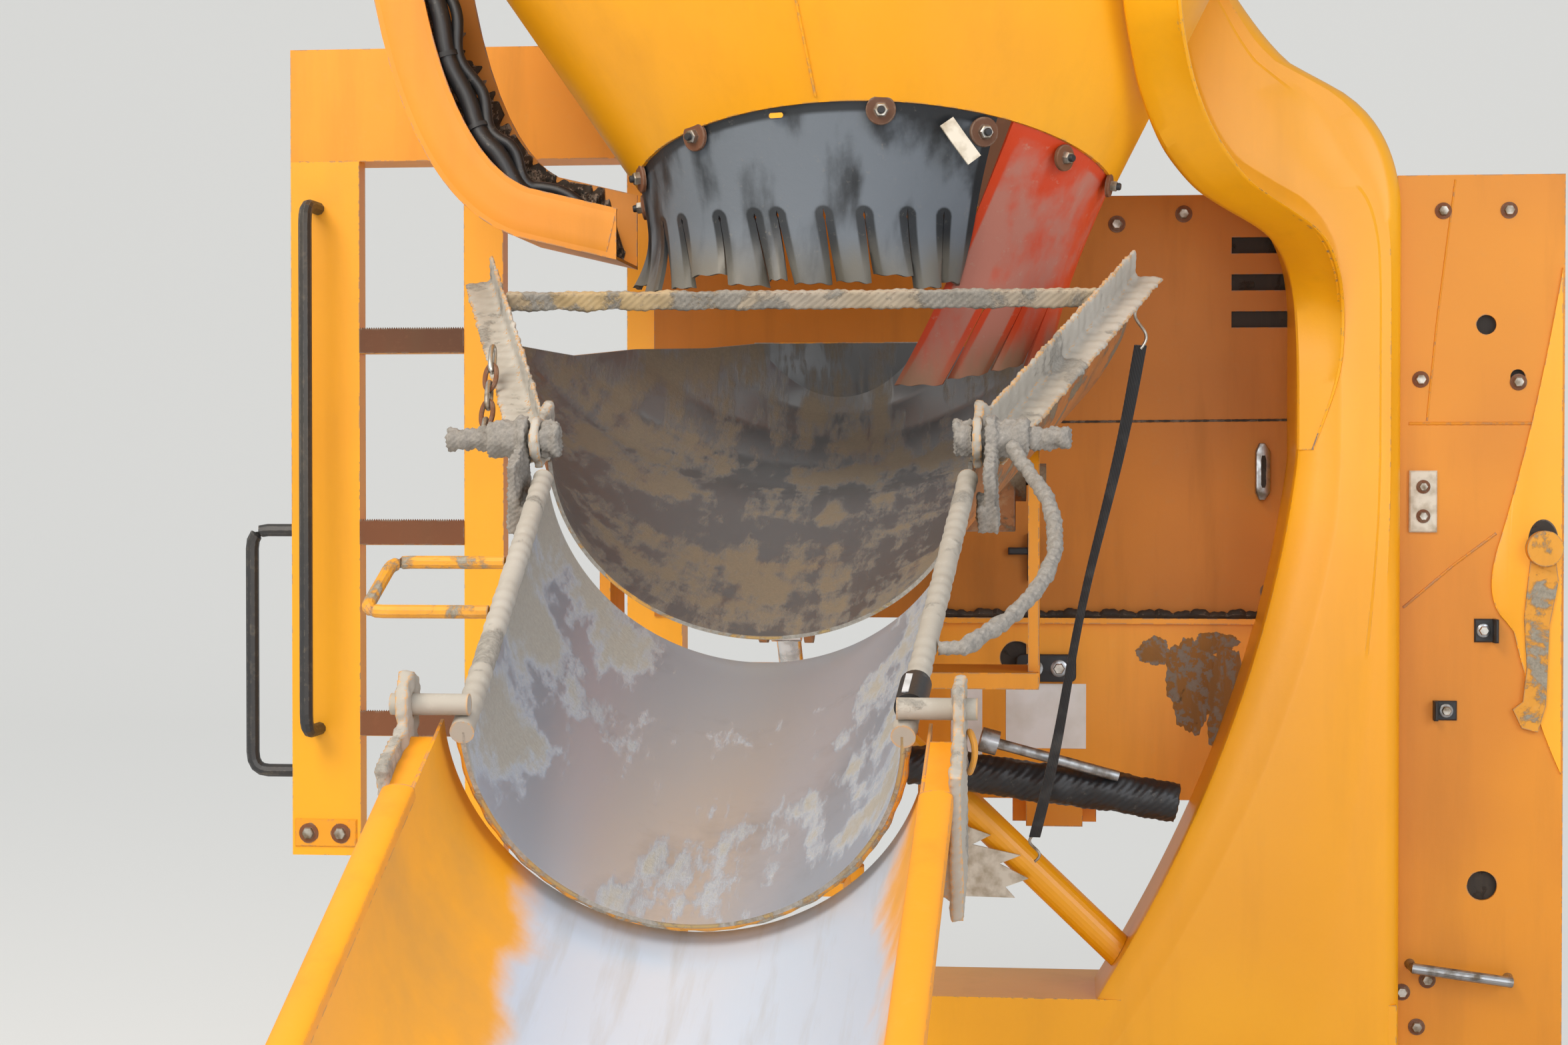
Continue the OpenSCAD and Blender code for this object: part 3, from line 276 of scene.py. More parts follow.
def worn_liner(name, paint, steel, film, half=0.16, soft=0.05, shift=0.0):
    """Yellow inner face worn to grey-white steel along the bottom, with a soft, wandering border.

    The border lies where the distance from the line x = shift, plus noise, passes half. It
    wanders over 200 mm, and the stains are streaks 29 mm wide and 330 mm long.
    """
    made, tree, at = new_material(name)
    parts = add_node(tree, "ShaderNodeSeparateXYZ", {0: at})
    moved = add_node(tree, "ShaderNodeMath", {0: parts["X"], 1: shift}, operation="SUBTRACT")
    off = add_node(tree, "ShaderNodeMath", {0: moved[0]}, operation="ABSOLUTE")
    cloud = add_node(tree, "ShaderNodeTexNoise", {"Vector": at, "Scale": 5.0, "Detail": 8.0,
                                                  "Roughness": 0.55})
    sway = add_node(tree, "ShaderNodeMath", {0: cloud[0], 1: 0.16, 2: off[0]},
                    operation="MULTIPLY_ADD")
    bare = add_node(tree, "ShaderNodeMapRange", {0: sway[0], 1: half + 0.08 + soft, 2: half + 0.08},
                    interpolation_type="SMOOTHSTEP")
    turned_at = add_node(tree, "ShaderNodeMapping", {"Vector": at, "Rotation": (-SLOPE, 0.0, 0.0),
                                                     "Scale": (34.0, 3.0, 3.0)})
    fine = add_node(tree, "ShaderNodeTexNoise", {"Vector": turned_at[0], "Scale": 1.0,
                                                 "Detail": 10.0, "Roughness": 0.62})
    stain = add_node(tree, "ShaderNodeMapRange", {0: fine[0], 1: 0.50, 2: 0.80, 4: 0.55})
    worn = add_node(tree, "ShaderNodeMix", {0: stain[0], 6: srgb(steel), 7: srgb(film)},
                    data_type="RGBA")[2]
    dust = add_node(tree, "ShaderNodeMapRange", {0: cloud[0], 1: 0.40, 2: 0.75, 4: 0.6})
    coat = add_node(tree, "ShaderNodeMix", {0: dust[0], 6: srgb(paint), 7: srgb("#b98a45")},
                    data_type="RGBA")[2]
    colour = add_node(tree, "ShaderNodeMix", {0: bare[0], 6: coat, 7: worn}, data_type="RGBA")[2]
    metal_in = add_node(tree, "ShaderNodeMapRange", {0: bare[0], 3: 0.0, 4: 0.35})
    rough_in = add_node(tree, "ShaderNodeMapRange", {0: bare[0], 3: 0.5, 4: 0.38})
    bump = add_node(tree, "ShaderNodeBump",
                    {"Height": fine[0], "Distance": 0.0008, "Strength": 0.5})
    finish_material(tree, {"Base Color": colour, "Roughness": rough_in[0], "Metallic": metal_in[0],
                           "Normal": bump[0]})
    return made


def plain_metal(name, colour_hex, tarnish, rough=0.35, metallic=1.0, scale=40.0):
    """Zinc, steel, chrome or smooth plastic with tarnish in clouds of 25 mm, or one over scale."""
    made, tree, at = new_material(name)
    cloud = add_node(tree, "ShaderNodeTexNoise", {"Vector": at, "Scale": scale, "Detail": 7.0})
    mask = add_node(tree, "ShaderNodeMapRange", {0: cloud[0], 1: 0.42, 2: 0.68})
    colour = add_node(tree, "ShaderNodeMix", {0: mask[0], 6: srgb(colour_hex), 7: srgb(tarnish)},
                      data_type="RGBA")[2]
    rough_in = add_node(tree, "ShaderNodeMapRange", {0: mask[0], 3: rough, 4: rough + 0.3})
    bump = add_node(tree, "ShaderNodeBump",
                    {"Height": cloud[0], "Distance": 0.0006, "Strength": 0.4})
    finish_material(tree, {"Base Color": colour, "Roughness": rough_in[0], "Metallic": metallic,
                           "Normal": bump[0]})
    return made


def webbing(name, colour_hex, worn):
    """Woven polyester strap: a 3.5 mm twill, coarser than the real 1.5 mm so that it shows."""
    made, tree, at = new_material(name)
    wave = add_node(tree, "ShaderNodeTexWave", {"Vector": at, "Scale": 105.0, "Distortion": 0.4},
                    bands_direction="DIAGONAL")
    cloud = add_node(tree, "ShaderNodeTexNoise", {"Vector": at, "Scale": 22.0, "Detail": 6.0})
    mask = add_node(tree, "ShaderNodeMapRange", {0: cloud[0], 1: 0.5, 2: 0.75, 4: 0.5})
    colour = add_node(tree, "ShaderNodeMix", {0: mask[0], 6: srgb(colour_hex), 7: srgb(worn)},
                      data_type="RGBA")[2]
    bump = add_node(tree, "ShaderNodeBump", {"Height": wave[0], "Distance": 0.001, "Strength": 0.5})
    finish_material(tree, {"Base Color": colour, "Roughness": 0.75, "Normal": bump[0],
                           "Sheen Weight": 0.2})
    return made


FINISH = {}


def make_finishes():
    """Fills FINISH with this unit's materials."""
    made = {
        # Gloss chassis enamel, sprayed: an even warm yellow that goes orange in the shade
        "enamel": coated_steel("yellow_enamel", "#f7ab05", "#ee9f04", dirt=0.14, chips=0.22,
                               dirt_hex="#8a5a10", dust_hex="#dfa648", gloss=0.10),
        # The same enamel in a deeper orange, with more dust: painted shade for parts that stand in
        # shadow
        "painted_shade_enamel": coated_steel("painted_shade_yellow_enamel", "#dd8b06", "#cb7b06", dirt=0.25,
                                     dirt_hex="#7a4c12", dust_hex="#c98c3c", chips=0.3, rough=0.5,
                                     gloss=0.08),
        # The panel behind the chutes: the darkest enamel, its deep orange a painted shadow, matt
        # with dust
        "painted_shadow_enamel": coated_steel("painted_shadow_orange_enamel", "#bf7206", "#a96208", dirt=0.4,
                                    dirt_hex="#5a3a14", dust_hex="#9c7240", chips=0.3, rough=0.6,
                                    gloss=0.0),
        # Enamel under a dry film of dust: paler streaks and little gloss
        "enamel_dusty": coated_steel("dusty_yellow_enamel", "#f09c08", "#e28f0a", dirt=0.30,
                                     dirt_hex="#7d5518", dust_hex="#d9a24a", chips=0.34, rough=0.5,
                                     gloss=0.08),
        # Enamel spattered with cement: grey spots, and chips where it is handled
        "enamel_crusted": coated_steel("cement_spattered_enamel", "#e09a24", "#cf8b20", crust=0.50,
                                       chips=0.45, dirt=0.4, gloss=0.0, rough=0.6),
        # Dried cement film on enamel: pale grey, with yellow where the edges are rubbed bare
        "cement_film": coated_steel("cement_filmed_rail", "#bbb4a8", "#a39b8e", under="#eea21c",
                                    chips=0.40, dirt=0.45, dirt_hex="#8b8172",
                                    dust_hex="#dcd6ca", crust=0.42, crust_hex="#a39c90",
                                    gloss=0.0, rough=0.75, crust_scale=7.0),
        # Flat bar splashed and rubbed in use: cement over scuffed paint and a little rust
        "bar_film": coated_steel("cement_filmed_crossbar", "#b59a6c", "#a2988a", under="#7a5230",
                                 chips=0.45, dirt=0.5, dirt_hex="#6f604c", dust_hex="#cfc8bb",
                                 crust=0.52, crust_hex="#9d968a", gloss=0.0, rough=0.75,
                                 crust_scale=9.0, streak=(2.0, 9.0, 9.0)),
        # Enamel rubbed through to brown primer and rust: matt
        "scuffed": coated_steel("scuffed_bare_enamel", "#a8701c", "#7c5426", under="#5a4430",
                                chips=0.3, dirt=0.7, dirt_hex="#4a3a28", dust_hex="#8d6a40",
                                crust=0.30, crust_hex="#6b573c", gloss=0.0, rough=0.75,
                                crust_scale=16.0),
        # Cut edges of the chutes' sheets: enamel under broken grey patches of cement
        "crust": coated_steel("cement_crusted_enamel", "#e39c20", "#a9905c", crust=0.62, chips=0.5,
                              dirt=0.4, gloss=0.0, rough=0.75, crust_scale=9.0,
                              crust_hex="#a8a195"),
        # Bolts, ears and handle under years of cement: pale grey nearly all over
        "rim_crust": coated_steel("cement_crusted_rim", "#b3a894", "#9a9184", crust=0.86,
                                  chips=0.35, dirt=0.45, dirt_hex="#6d6457", gloss=0.0, rough=0.8,
                                  crust_scale=9.0, crust_hex="#9a9389"),
        # Outside of the main trough: dull orange paint with grey-brown splashes
        "orange_paint": coated_steel("orange_trough_paint", "#c9731c", "#8a5a34", crust=0.50,
                                     chips=0.6, dirt=0.6, gloss=0.0, rough=0.7,
                                     crust_hex="#86755e"),
        # Bare plate and washers gone to rust: brown and matt
        "rusty": coated_steel("rusted_steel", "#7a4a2c", "#5a3a26", crust=0.15, chips=0.4, dirt=0.4,
                              gloss=0.0, rough=0.8, crust_hex="#9b8f7c", dust_hex="#96694a"),
        # Hot-rolled plate polished by sliding grit: blue-grey, with a dull film at the sides
        "trough": scoured_trough("scoured_main_trough", "#7d7f81", "#8a7c68", "#6e4526",
                                 film_amount=0.66),
        # Wear plate polished by sliding grit: pale blue-grey, with film up the walls
        "fold": scoured_trough("scoured_foldover_steel", "#bcc7d6", "#b3ac9f", "#9aa0aa",
                               film_amount=0.42, sides=0.22),
        # Enamel worn through to pale steel along the bottom, where grit slides
        "liner": worn_liner("worn_extension_liner", "#f0a21a", "#c6d2e2", "#aaa498", half=0.20,
                            shift=0.035),
        # Moulded black rubber: a satin face with grey bloom away from the cuts
        "black_rubber": boot_rubber("black_boot_rubber", "#1f2225", "#7c838a", 0.66,
                                    tips="#6f6a5e"),
        # Moulded orange-red rubber: duller than the black, and pale where it rubs
        "orange_rubber": boot_rubber("orange_boot_rubber", "#cf3f12", "#b08474", 0.72,
                                     scuff="#b7a58f", rough=0.5, tips="#7d6148"),
        # Extruded hose rubber: near black, with a little dust
        "hose_rubber": boot_rubber("black_hose_rubber", "#1c1c1e", "#5c554b", 0.35),
        # Black paint on tube: satin, with grey steel at the worn spots
        "black_paint": coated_steel("black_rail_paint", "#2b2c2e", "#35332f", under="#8d8a84",
                                    dirt=0.3, chips=0.35, rough=0.5, gloss=0.1),
        # Zinc-plated steel: dull silver going brown
        "zinc": plain_metal("zinc_plated_bolt", "#b9b6ae", "#7a6a55", rough=0.4),
        # Ground steel: smooth and grey, with brown stains
        "steel": plain_metal("ground_steel_pin", "#a7aaad", "#6d655a", rough=0.3),
        # Grey machine paint, sprayed: satin
        "cylinder": coated_steel("grey_cylinder_paint", "#55585c", "#4a4b4d", under="#8a8782",
                                 dirt=0.35, chips=0.25, rough=0.5, gloss=0.1),
        # Dried oil, dust and cement: near black and rough as earth; it is also the painted shade
        # laid in slots and openings
        "dark_gunk_and_shade": coated_steel("dried_black_gunk_and_painted_shade", "#1f1b17", "#30261c", dust_hex="#4d4236",
                                  crust=0.35, chips=0.2, dirt=0.6, gloss=0.0, rough=0.75,
                                  crust_hex="#3d342a", crust_scale=22.0),
        # Painted label plate with nothing on it: an even off-white
        "blank_label": plain_metal("blank_label_plate", "#e4e2dc", "#cfcabd", rough=0.5,
                                   metallic=0.0, scale=9.0),
        # White paint on rubber: dull and a little grey
        "white_mark": plain_metal("white_sleeve_mark", "#c9c9c9", "#aaa8a4", metallic=0.0),
        # Woven polyester webbing: black, greyed where it is worn
        "webbing": webbing("black_webbing", "#17181a", "#4b4a48"),
        # Moulded black plastic: smooth, with a soft shine
        "cap": plain_metal("black_moulded_cap", "#1d1e20", "#2c2c2c", rough=0.5, metallic=0.0),
        # Cast plastic wear pad: cream and waxy
        "pad": plain_metal("pale_wear_pad", "#cfc6b4", "#a99c86", rough=0.6, metallic=0.0),
        # Hard chrome: mirror-smooth
        "chrome": plain_metal("chromed_rod", "#d8dadc", "#b2b2b0", rough=0.12),
    }
    FINISH.update(made)


def give(node, finish):
    """Puts a finish on every slot of a CAD node's object."""
    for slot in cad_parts[node].material_slots:
        slot.material = FINISH[finish]


def make_piece(name, points, faces, body, finishes, index=None, smooth=35.0):
    """Makes a mesh piece that rides on a body, from points, faces and one finish index a face."""
    mesh = bpy.data.meshes.new(name)
    mesh.from_pydata(np.asarray(points, float).tolist(), [], [list(map(int, f)) for f in faces])
    for finish in finishes:
        mesh.materials.append(FINISH[finish])
    if index is not None:
        mesh.polygons.foreach_set("material_index", np.asarray(index, np.int32))
    mesh.polygons.foreach_set("use_smooth", np.ones(len(mesh.polygons), bool))
    mesh.set_sharp_from_angle(angle=math.radians(smooth))
    mesh.validate()
    piece = bpy.data.objects.new(name, mesh)
    bpy.context.scene.collection.objects.link(piece)
    if body:
        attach(piece, body)
    return piece


def grid_faces(rows, cols, start=0, wrap_rows=False, wrap_cols=False, flip=False):
    """Quads over a grid whose point (i, j) has number start + i * cols + j."""
    i, j = np.meshgrid(np.arange(rows if wrap_rows else rows - 1),
                       np.arange(cols if wrap_cols else cols - 1), indexing="ij")
    k, l = (i + 1) % rows, (j + 1) % cols
    quads = np.stack([i * cols + j, i * cols + l, k * cols + l, k * cols + j], -1).reshape(-1, 4)
    return start + (quads[:, ::-1] if flip else quads)


def shell_faces(rows, cols, wrap_rows=False, wrap_cols=False):
    """Faces of a thin sheet: its outer grid, then its inner grid, then the strips that join them.

    Returns the quads and, for each, 0 on the outer side, 1 on the inner side and 2 on an edge.
    """
    n = rows * cols
    outer = grid_faces(rows, cols, 0, wrap_rows, wrap_cols)
    inner = grid_faces(rows, cols, n, wrap_rows, wrap_cols, flip=True)
    parts, kinds = [outer, inner], [np.zeros(len(outer)), np.ones(len(inner))]

    def strip(line):
        """Quads from a run of outer points to the same run of inner points."""
        a, b = line[:-1], line[1:]
        quads = np.stack([b, a, a + n, b + n], -1)
        parts.append(quads)
        kinds.append(np.full(len(quads), 2))

    row, col = np.arange(cols), np.arange(rows) * cols
    close_row = np.append(row, row[:1]) if wrap_cols else row
    close_col = np.append(col, col[:1]) if wrap_rows else col
    if not wrap_rows:
        strip(close_row)
        strip((close_row + (rows - 1) * cols)[::-1])
    if not wrap_cols:
        strip(close_col[::-1])
        strip(close_col + cols - 1)
    return np.concatenate(parts), np.concatenate(kinds).astype(int)


def facing(points, faces):
    """True if closed faces point outwards, by the sign of the volume that they hold."""
    p = np.asarray(points)
    f = np.asarray(faces)
    a, b, c, d = (p[f[:, k]] for k in range(4))
    one = np.einsum("ij,ij->i", a, np.cross(b, c)) + np.einsum("ij,ij->i", a, np.cross(c, d))
    return one.sum() > 0


def shell(name, outer, inner, body, finishes, wrap_rows=False, wrap_cols=False, smooth=35.0):
    """A thin sheet between two grids of points; finishes are for outside, inside and edges."""
    rows, cols = outer.shape[:2]
    points = np.concatenate([outer.reshape(-1, 3), inner.reshape(-1, 3)])
    faces, kinds = shell_faces(rows, cols, wrap_rows, wrap_cols)
    if not facing(points, faces):
        faces = faces[:, ::-1]
    return make_piece(name, points, faces, body, finishes, kinds, smooth)


def in_chute(x, y, w):
    """Points of the chutes' own frame, turned by the slope about the hinge line."""
    return np.stack([x, HINGE_Y + y * math.cos(SLOPE) - w * math.sin(SLOPE),
                     HINGE_Z + y * math.sin(SLOPE) + w * math.cos(SLOPE)], -1)


def bend(a, b, c, n):
    """Points on the curve (1-s)^2 a + 2 s (1-s) b + s^2 c."""
    s = np.linspace(0, 1, n)[:, None]
    a, b, c = (np.asarray(v, float) for v in (a, b, c))
    return (1 - s) ** 2 * a + 2 * s * (1 - s) * b + s * s * c


def along(line, n):
    """A line's points at n even shares of its length, joined by straight lines."""
    line = np.asarray(line, float)
    run = np.append(0, np.cumsum(np.linalg.norm(np.diff(line, axis=0), axis=1)))
    at = np.linspace(0, run[-1], n)
    return np.stack([np.interp(at, run, line[:, k]) for k in range(line.shape[1])], -1)


def even(path, step):
    """A path with a point at each step of length."""
    length = np.cumsum(np.linalg.norm(np.diff(np.asarray(path, float), axis=0), axis=1))[-1]
    return along(path, max(2, int(length / step) + 1))


def end_caps(rows, cols):
    """The two faces that close the ends of a tube of rows rings with cols points each."""
    return [list(range(cols))[::-1], [(rows - 1) * cols + k for k in range(cols)]]


def turned_out(faces, points, line, cols):
    """The faces of a tube round a line, all reversed if its quads look towards the line."""
    quads = np.array([f for f in faces if len(f) == 4])
    middle = points[quads].mean(1) - np.repeat(line, cols, 0)[quads[:, 0]]
    normal = np.cross(points[quads[:, 1]] - points[quads[:, 0]],
                      points[quads[:, 2]] - points[quads[:, 0]])
    looks_in = np.einsum("ij,ij->i", middle, normal).sum() < 0
    return [f[::-1] for f in faces] if looks_in else faces


def swept(name, path, section, body, finishes, ref=(0, 0, 1), scale=None, closed=False,
          index=None, smooth=35.0):
    """Carries a closed outline along a path: point = path + scale * (u * across + v * up).

    Across is the path's direction crossed with ref, and up is across crossed with the direction.
    """
    path = np.asarray(path, float)
    section = np.asarray(section, float)
    if closed:
        ahead = np.roll(path, -1, 0) - np.roll(path, 1, 0)
    else:
        ahead = np.gradient(path, axis=0)
    ahead /= np.linalg.norm(ahead, axis=1)[:, None]
    ref = np.broadcast_to(np.asarray(ref, float), path.shape)
    across = np.cross(ahead, ref)
    size = np.linalg.norm(across, axis=1)
    across[size < 1e-6] = (1, 0, 0)
    across /= np.linalg.norm(across, axis=1)[:, None]
    up = np.cross(across, ahead)
    grow = np.ones(len(path)) if scale is None else np.asarray(scale, float)
    points = (path[:, None] + grow[:, None, None] * (section[None, :, :1] * across[:, None]
                                                      + section[None, :, 1:] * up[:, None]))
    rows, cols = points.shape[:2]
    faces = grid_faces(rows, cols, 0, closed, True).tolist()
    flat = points.reshape(-1, 3)
    if not closed:
        faces += end_caps(rows, cols)
    faces = turned_out(faces, flat, path, cols)
    return make_piece(name, flat, faces, body, finishes, index, smooth)


def ring(r, n=16, squash=1.0):
    """A round outline of n points, its height times squash."""
    a = np.arange(n) * 2 * math.pi / n
    return np.stack([r * np.cos(a), r * squash * np.sin(a)], -1)


def flat_bar(wide, high):
    """A flat bar's outline, from half its width and half its height."""
    return [(-wide, -high), (wide, -high), (wide, high), (-wide, high)]


def turned(centre, axis, profile, n=24, first_n=None):
    """Points and faces of a profile of (radius, height) turned about an axis at a centre.

    With first_n, every ring but the last has that many flats.
    """
    axis = np.asarray(axis, float) / np.linalg.norm(axis)
    ref = np.array([0, 0, 1.0]) if abs(axis[2]) < 0.8 else np.array([1.0, 0, 0])
    u = np.cross(ref, axis)
    u /= np.linalg.norm(u)
    v = np.cross(axis, u)
    a = np.arange(n) * 2 * math.pi / n
    profile = np.asarray(profile, float)
    radius = profile[:, :1] * np.ones(n)
    if first_n:
        # The radius is a corner's: a flat is at r cos(flat) / cos of the angle from its middle
        flat = math.pi / first_n
        hexed = math.cos(flat) / np.cos((a % (2 * flat)) - flat)
        radius[:-1] = radius[:-1] * hexed
    spread = np.cos(a)[:, None] * u + np.sin(a)[:, None] * v
    points = (np.asarray(centre) + radius[..., None] * spread
              + profile[:, 1][:, None, None] * axis)
    rows = len(profile)
    faces = grid_faces(rows, n, 0, False, True).tolist()
    return points.reshape(-1, 3), faces + end_caps(rows, n)


def joined(name, parts, body, finishes, smooth=35.0):
    """One piece from several (points, faces, finish index) parts."""
    points, faces, index, start = [], [], [], 0
    for p, f, k in parts:
        points.append(np.asarray(p))
        faces += [[int(v) + start for v in one] for one in f]
        index += [k] * len(f)
        start += len(p)
    return make_piece(name, np.concatenate(points), faces, body, finishes, index, smooth)


def bolt_parts(centre, axis, r=0.011, washer=0.019, tall=0.009, first=0):
    """A washer and a hexagon bolt head: the bolt has the first finish and the washer the next."""
    axis = np.asarray(axis, float) / np.linalg.norm(axis)
    disc = turned(centre, axis, [(washer, -0.002), (washer, 0.0022), (washer - 0.0012, 0.003),
                                 (r * 0.6, 0.003)])
    head = turned(np.asarray(centre) + axis * 0.003, axis,
                  [(r, 0), (r, tall * 0.8), (r * 0.86, tall), (r * 0.2, tall)], first_n=6)
    return [(*head, first), (*disc, first + 1)]


def rough_copy(name, nodes, body, finish, voxel=0.004, amount=0.003, size=0.02, seed=0.0):
    """A lumpy copy of CAD nodes: merged, remeshed to small voxels, and pushed out by noise.

    Each point moves along its normal by half of amount times the sum of three products, each of
    two sines of its place.
    """
    points, faces, start = [], [], 0
    for node in nodes:
        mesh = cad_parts[node].data
        p = np.empty(len(mesh.vertices) * 3)
        mesh.vertices.foreach_get("co", p)
        f = np.empty(len(mesh.loops), np.int32)
        mesh.loops.foreach_get("vertex_index", f)
        points.append(p.reshape(-1, 3))
        faces.append(f.reshape(-1, 3) + start)
        start += len(mesh.vertices)
    points, faces = np.concatenate(points), np.concatenate(faces)
    near, back = np.unique(np.round(points, 5), axis=0, return_inverse=True)
    faces = back.ravel()[faces]
    faces = faces[(faces[:, 0] != faces[:, 1]) & (faces[:, 1] != faces[:, 2])
                  & (faces[:, 0] != faces[:, 2])]
    piece = make_piece(name, near, faces, body, [finish], smooth=60.0)
    remesh = piece.modifiers.new("Fine", "REMESH")
    remesh.mode, remesh.voxel_size, remesh.use_smooth_shade = "VOXEL", voxel, True
    dg = bpy.context.evaluated_depsgraph_get()
    fine = bpy.data.meshes.new_from_object(piece.evaluated_get(dg))
    piece.modifiers.clear()
    old, piece.data = piece.data, fine
    bpy.data.meshes.remove(old)
    n = len(fine.vertices)
    p, v = np.empty(n * 3), np.empty(n * 3)
    fine.vertices.foreach_get("co", p)
    fine.vertices.foreach_get("normal", v)
    p, v = p.reshape(-1, 3), v.reshape(-1, 3)
    k = 2 * math.pi / size
    waves = sum(np.sin(k * f * (p @ np.array(d) + seed)) * np.sin(k * f * (p @ np.array(e)) + seed)
                for f, d, e in ((1.0, (.8, .5, .3), (-.4, .8, .45)),
                                (0.43, (.2, -.9, .4), (.9, .2, .4)),
                                (2.3, (.5, .5, -.7), (-.7, .1, .7))))
    fine.vertices.foreach_set("co", (p + v * (amount * 0.5 * waves)[:, None]).ravel())
    fine.update()
    if not fine.materials:
        fine.materials.append(FINISH[finish])
    fine.polygons.foreach_set("use_smooth", np.ones(len(fine.polygons), bool))
    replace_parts(piece, *nodes)
    return piece


class DischargeUnitSettings(bpy.types.PropertyGroup):
    """Sizes and colours that a user of this unit would change."""
    lens: FloatProperty(name="Lens", description="Focal length of the camera", default=61.2,
                        min=20.0, max=200.0, subtype="DISTANCE_CAMERA")
    floor_z: FloatProperty(name="Floor height", description="Height of the floor under the bolts",
                           default=-0.85, unit="LENGTH")
    lamp_power: FloatProperty(name="Lamp power", description="Power of the key lamp",
                              default=305.0, min=0.0, unit="POWER")
    backdrop: FloatVectorProperty(name="Backdrop", description="Colour of floor and backdrop",
                                  default=srgb("#e9e8e4")[:3], min=0.0, max=1.0, subtype="COLOR")
    curl: FloatProperty(name="Boot curl", description="How far the boots' fingers curl",
                        default=0.032, min=0.0, max=0.05, unit="LENGTH")
    gunk: BoolProperty(name="Gutter dirt", description="Adds the dirt in the gutters", default=True)


class DISCHARGE_OT_stage(bpy.types.Operator):
    """Makes the camera, the lamps, the floor and the backdrop"""
    bl_idname = "discharge.stage"
    bl_label = "Stage"

    def execute(self, context):
        chosen = context.scene.discharge_unit
        data = bpy.data.cameras.new("photo_camera")
        data.lens, data.sensor_width, data.clip_end = chosen.lens, 36.0, 200.0
        camera = bpy.data.objects.new("photo_camera", data)
        # Fits the photograph: level with the hinge, turned 6 degrees left and 1 degree down
        camera.location = (0.45, -5.80, 0.587)
        camera.rotation_euler = (math.radians(89), 0, math.radians(6))
        context.scene.collection.objects.link(camera)
        context.scene.camera = camera
        context.scene.view_settings.view_transform = "Standard"

        # Matt paper: it glows by about half where the camera sees it, so that it looks near white
        made, tree = new_material("matt_studio_paper")[:2]
        paper = add_node(tree, "ShaderNodeBsdfDiffuse", {"Color": (*chosen.backdrop, 1.0)})
        white = add_node(tree, "ShaderNodeEmission", {"Color": srgb("#f1f0ec"), "Strength": 1.0})
        path = add_node(tree, "ShaderNodeLightPath")
        seen = add_node(tree, "ShaderNodeMath", {0: path["Is Camera Ray"], 1: 0.55},
                        operation="MULTIPLY")
        mixed = add_node(tree, "ShaderNodeMixShader", {0: seen[0], 1: paper[0], 2: white[0]})
        add_node(tree, "ShaderNodeOutputMaterial", {"Surface": mixed[0]})
        # One sheet: level floor, a quarter turn, then an upright back
        turn = bend((9.0, chosen.floor_z), (12.0, chosen.floor_z), (12.0, 3.0), 16)
        line = np.concatenate([[(-12.0, chosen.floor_z)], turn, [(12.0, 12.0)]])
        x = np.array([-16.0, 16.0])
        points = np.stack([np.tile(x, (len(line), 1)), np.repeat(line[:, :1], 2, 1),
                           np.repeat(line[:, 1:], 2, 1)], -1).reshape(-1, 3)
        FINISH["paper"] = made
        floor = make_piece("studio_floor", points, grid_faces(len(line), 2), None, ["paper"],
                           smooth=80)

        world = context.scene.world or bpy.data.worlds.new("studio")
        context.scene.world = world
        world.use_nodes = True
        tree = world.node_tree
        tree.nodes.clear()
        path = add_node(tree, "ShaderNodeLightPath")
        seen = add_node(tree, "ShaderNodeMath",
                        {0: path["Is Camera Ray"], 1: path["Is Glossy Ray"]},
                        operation="MAXIMUM")
        soft = add_node(tree, "ShaderNodeBackground", {"Color": srgb("#dfe6ee"), "Strength": 0.62})
        pale = add_node(tree, "ShaderNodeBackground", {"Color": srgb("#eceae6"), "Strength": 0.9})
        mixed = add_node(tree, "ShaderNodeMixShader", {0: seen[0], 1: soft[0], 2: pale[0]})
        add_node(tree, "ShaderNodeOutputWorld", {"Surface": mixed[0]})

        # Disc lamps: name, place, aim, width, share of the key lamp's power, tint
        for name, place, aim, size, share, tint in (
                ("key_lamp", (-2.6, -5.2, 4.6), (0, -1.4, 0.6), 3.6, 1.0, "#fff6ea"),
                ("fill_lamp", (4.2, -5.5, 2.2), (0.6, -1.2, 0.4), 3.2, 0.42, "#eef3ff"),
                ("front_lamp", (0.2, -7.6, 1.6), (0, -1.2, 0.5), 2.6, 0.40, "#ffffff")):
            light = bpy.data.lights.new(name, "AREA")
            light.shape, light.size = "DISK", size
            light.energy, light.color = chosen.lamp_power * share, srgb(tint)[:3]
            lamp = bpy.data.objects.new(name, light)
            lamp.location = place
            way = np.array(aim, float) - np.array(place)
            lamp.rotation_euler = (math.acos(-way[2] / np.linalg.norm(way)), 0,
                                   math.atan2(-way[0], way[1]))
            context.scene.collection.objects.link(lamp)
        return {"FINISHED"}


def funnel_point(a, z, inset):
    """Point of the leaning funnel: an ellipse whose middle and axes change evenly with height."""
    s = (z - FUNNEL_LOW_Z) / (FUNNEL_TOP_Z - FUNNEL_LOW_Z)
    rx = FUNNEL_LOW_R + s * (FUNNEL_TOP_W - FUNNEL_LOW_R) - inset
    ry = FUNNEL_LOW_D + s * (FUNNEL_TOP_R - FUNNEL_LOW_D) - inset
    x = FUNNEL_SHIFT + s * (FUNNEL_TOP_SHIFT - FUNNEL_SHIFT)
    return np.stack([x + rx * np.cos(a), SLEW_Y + ry * np.sin(a), z * np.ones_like(a)], -1)


def low_edge(a):
    """Height of the funnel's lower edge: it arches up at the front with -sin(a) to the 1.6."""
    return FUNNEL_LOW_Z + FUNNEL_ARCH * np.maximum(0, -np.sin(a)) ** 1.6


